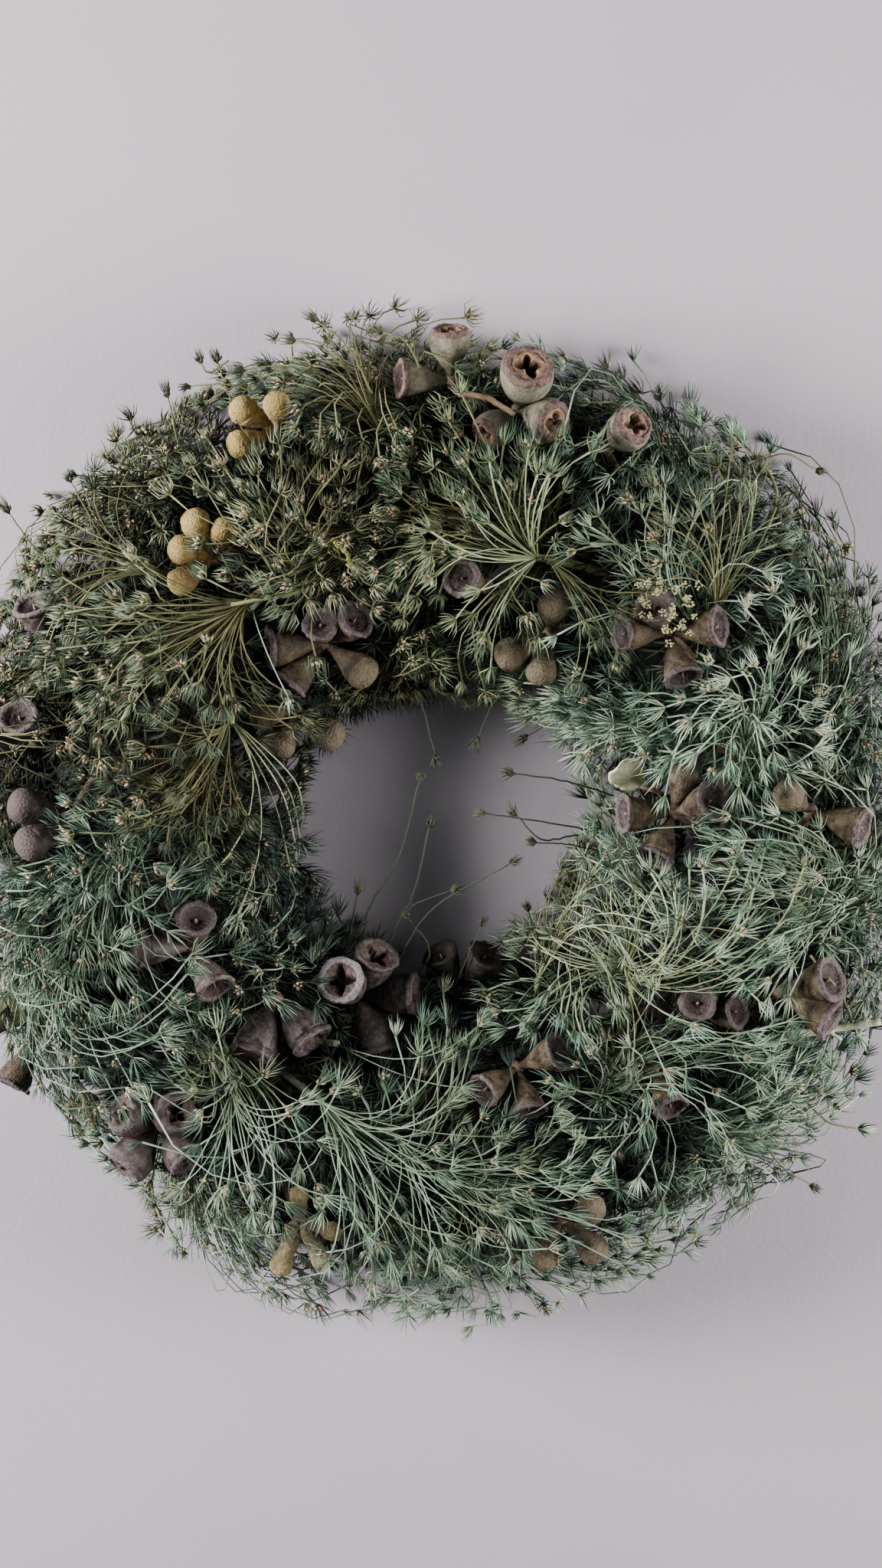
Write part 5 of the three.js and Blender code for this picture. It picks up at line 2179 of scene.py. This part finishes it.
# The clock angle and the angle across of each umbel's hub, in degrees.
HUBS = [
    (70.2, 100), (38, 74), (129, 94), (156, 132), (-56, 158),
    (-38, 152), (-113, 92), (-94, 62), (101, 82), (-20, 60),
    (-141, 84), (174, 92), (16, 88), (-60, 88),
    (92, 152), (24, 150), (-20, 160), (-150, 150), (175, 156),
    (12, 18), (-22, 12), (-58, 24), (-96, 20), (-138, 20),
    (-177, 30), (151, 14), (120, 12), (86, 8), (50, 20),
]

PALE = {"stalks": "pale_stalks"}
FANS = [
    Fan("fan_upper_right", 72.7, 93.3, 174, 168, 36, 39, Growth.MOSS, pale=0.8, **PALE),
    Fan("fan_upper_right_low", 70.6, 93.0, -38, 34, 16, 42, Growth.OLIVE, pale=0.45),
    Fan("fan_upper_left", 126.7, 90.2, 207, 110, 48, 54, Growth.OLIVE),
    Fan("fan_upper_left_low", 126.8, 93.6, -62, 14, 3, 44, pale=0.95),
    Fan("fan_left_inner", 148.2, 125.8, -50, 48, 9, 80, ray=0.36, pale=1.1, curve=-0.3, unruly=0.1, **PALE),
    Fan("fan_left_mid", 147.6, 124.0, 195, 100, 26, 48, Growth.OLIVE, pale=0.6),
    Fan("fan_lower_right", -34.2, 137.0, 62, 230, 44, 57,
        pale=0.85, splay=0.0, curve=0.25, unruly=0.45, hidden=4, **PALE),
    Fan("fan_lower_right_low", -34.6, 136.0, 205, 60, 14, 46, pale=0.8, unruly=0.3, hidden=4, **PALE),
    Fan("fan_lower_right_inner", -58.5, 164.0, 46, 60, 22, 60,
        depth=54.0, end_depth=65.0, pale=0.92, curve=-0.2, unruly=0.3, **PALE),
    Fan("fan_lower_right_long", -36.0, 128.0, 6, 34, 20, 66, pale=0.9, curve=0.35, hidden=4, **PALE),
    Fan("fan_right", 42.6, 70.3, 98, 62, 26, 45, Growth.OLIVE, pale=0.6),
    Fan("fan_lower_left_inner", -117.5, 130.0, -22, 48, 24, 62, pale=0.85, curve=0.1),
    Fan("fan_hole_low", -101.5, 168.0, 2, 46, 26, 50, end_depth=58.0, pale=0.8),
    Fan("fan_lower_left", -130.4, 81.5, -70, 112, 20, 42, Growth.TEAL, pale=0.85),
    Fan("fan_low_long", -115.5, 100.5, -56, 84, 30, 80, pale=0.86, unruly=0.28),
    Fan("fan_bottom", -98.7, 93.0, -48, 70, 18, 58, pale=0.8),
    Fan("fan_left_low", -163.0, 54.0, -92, 84, 19, 56, Growth.TEAL, pale=0.72, unruly=0.45, hidden=4),
    Fan("fan_left_out", 133.3, 59.5, 172, 44, 24, 52, Growth.OLIVE, pale=0.55),
    Fan("fan_top", 97.8, 46.3, 128, 62, 20, 44, Growth.OLIVE, pale=0.55),
    Fan("fan_right_out", 46.2, 32.5, 112, 30, 7, 42, pale=0.95),
]

LEAVES = [
    Leaf("leaf_pale", 15, 150, 46, 138, 30, 17.5, 13, "pale_leaf", True),
    Leaf("leaf_olive", -156, 17, 52, 190, 8, 32, 15, "olive_leaf"),
]

SPRIG_GROUPS = [
    # The wisps across the hole have dark stalks: painted shade.
    SprigGroup("hole_wisps", [
        Sprig([(-31, -56, 22), (-29, -31, 30), (-17, -8, 37), (-8.7, 23.5, 40)]),
        Sprig([(-27, -54, 22), (-12, -24, 35), (-5.2, 5, 40)]),
        Sprig([(-20, -57, 24), (-4, -28, 37), (25.3, -8.4, 42)]),
        Sprig([(-24, -55, 24), (-14, -30, 33), (3, -20, 38)], thick=0.28),
        Sprig([(66, -6, 24), (53.5, -0.2, 30), (38, 0, 37), (28.1, 10.1, 40)]),
        Sprig([(66, -10, 24), (50, -4, 31), (35.6, -1, 38)], thick=0.26),
        Sprig([(67, -2, 26), (46, 5, 35), (16.5, 11, 40)]),
        Sprig([(66, 14, 25), (46, 22, 33), (27.2, 25.5, 36)]),
        Sprig([(60, 52, 24), (45, 46, 30), (32.5, 39, 30)]),
        Sprig([(-14, 76, 30), (-9, 58, 38), (-2.9, 33.9, 40)]),
        Sprig([(22, 74, 30), (19, 55, 37), (13.5, 40.2, 38)], thick=0.26),
        Sprig([(42, -60, 24), (37, -42, 28), (33.3, -31.6, 28)]),
        Sprig([(-12, -64, 24), (-5, -46, 32), (-13, -33, 33)], thick=0.28),
        Sprig([(4, -66, 24), (10, -48, 32), (15, -36, 34)], thick=0.28),
        Sprig([(-40, -52, 22), (-36, -40, 28), (-33, -24, 31)], thick=0.28),
    ], "hole_stalks_painted_shade"),
    SprigGroup("outer_wisps", [
        Sprig([(-112, 98, 40), (-124, 118, 48), (-134, 136, 46)]),
        Sprig([(-128, 92, 36), (-146, 108, 42), (-158, 124, 40)]),
        Sprig([(-86, 128, 44), (-94, 148, 48), (-98, 166, 46)]),
        Sprig([(-66, 140, 46), (-74, 162, 50), (-80, 178, 46)]),
        Sprig([(-25, 168, 52), (-33, 184, 55), (-44, 193, 52)]),
        Sprig([(-35, 177, 50), (-43, 184, 52), (-52, 186, 48)]),
        Sprig([(-8, 177, 52), (-13, 186, 52), (-21, 189, 48)]),
        Sprig([(-68, 169, 48), (-78, 171, 50), (-90, 170, 44)]),
        Sprig([(-76, 179, 46), (-83, 175, 48), (-86, 178, 44)]),
        Sprig([(-168, 62, 34), (-182, 76, 36), (-191, 92, 32)]),
        Sprig([(134, -96, 40), (150, -112, 44), (164, -118, 38)], Head.PALE, 0.4),
        Sprig([(120, -112, 40), (132, -130, 44), (146, -142, 38)]),
        Sprig([(104, 138, 40), (122, 146, 44), (136, 140, 38)]),
    ]),
    SprigGroup("big_tufts", [
        Sprig([over(46, 40, 50), over(51, 34, 61), over(59.0, 23, 60)], Head.PALE, 0.5),
        Sprig([over(44, 34, 50), over(48, 26, 62), over(54.6, 14, 61)], Head.PALE, 0.5),
        Sprig([over(-16, 60, 50), over(-20, 50, 61), over(-26, 24, 61)], Head.PALE, 0.45),
    ], "pale_stalks"),
    SprigGroup("cream_florets", [
        Sprig([over(at - 3, across, 40), over(at, across, 56), over(at, across, top)], Head.FLORETS, 0.35)
        for at, across, top in (
            (53.3, 80.9, 66), (51.4, 78.0, 67), (48.2, 80.4, 68), (47.9, 91.0, 67), (53.4, 88.9, 66),
            (49.6, 84.0, 69), (46.0, 85.5, 67), (65.4, 148.5, 61), (78.0, 36.6, 62), (29.8, 153.8, 61),
            (55.5, 84.0, 64),
        )
    ], "pale_stalks"),
    SprigGroup("brown_stick", [
        Sprig([over(88.0, 38, 55), over(84.5, 42, 58), over(81.0, 45, 56)], Head.BARE, 1.1),
    ], "brown_twig"),
    SprigGroup("green_stem", [
        Sprig([over(128.5, 87, 52), over(124.5, 90, 60), over(119, 94, 61), over(114, 97, 52)], Head.BARE, 0.7),
    ]),
]


def growth_at(at: float) -> tuple[Growth, float]:
    """Says what foliage grows at a clock angle.

    Args:
        at: The clock angle, in degrees.

    Returns:
        Its kind, and how many of its tufts have a tan heart.
    """
    at = (at + 180) % 360 - 180
    if 100 < at < 165:
        return Growth.OLIVE, 0.5
    if 55 < at <= 100:
        return Growth.MOSS, 0.35
    if at < -128 or at >= 165:
        return Growth.TEAL, 0.4
    return Growth.SAGE, 0.16


def grow_foliage() -> None:
    """Builds the umbels and the fans that lie on them."""
    field_ = TipField(np.concatenate([fan.bare() for fan in FANS]))
    tips = field_.sample()
    umbels = [
        Umbel(f"umbel_{i + 1:02d}", at, across, *growth_at(at)) for i, (at, across) in enumerate(HUBS)
    ]
    owner = np.argmin([u.distance(tips["turn"], tips["across"]) for u in umbels], axis=0)
    for i, umbel in enumerate(umbels):
        own = {key: values[owner == i] for key, values in tips.items()}
        umbel.build(own, field_.layers, draws(Stream.UMBELS + i))
    for fan in FANS:
        fan.build()


def main() -> None:
    """Builds the wreath piece by piece, then the studio."""
    logging.basicConfig(level=logging.INFO, format="%(name)s: %(message)s")
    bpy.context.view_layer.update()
    FINISHES.prepare()
    VineRing().build()
    for i, cluster in enumerate(CLUSTERS):
        cluster.build(draws(Stream.CLUSTERS + i))
    for leaf in LEAVES:
        leaf.build()
    CutTwig().build()
    grow_foliage()
    for group in SPRIG_GROUPS:
        group.build()
    Catkin(over(107.8, 84, 62), over(106.4, 93, 62)).build()
    Studio().build()
    log.info("%d triangles in all", Skin.total)


if __name__ == "__main__":
    main()
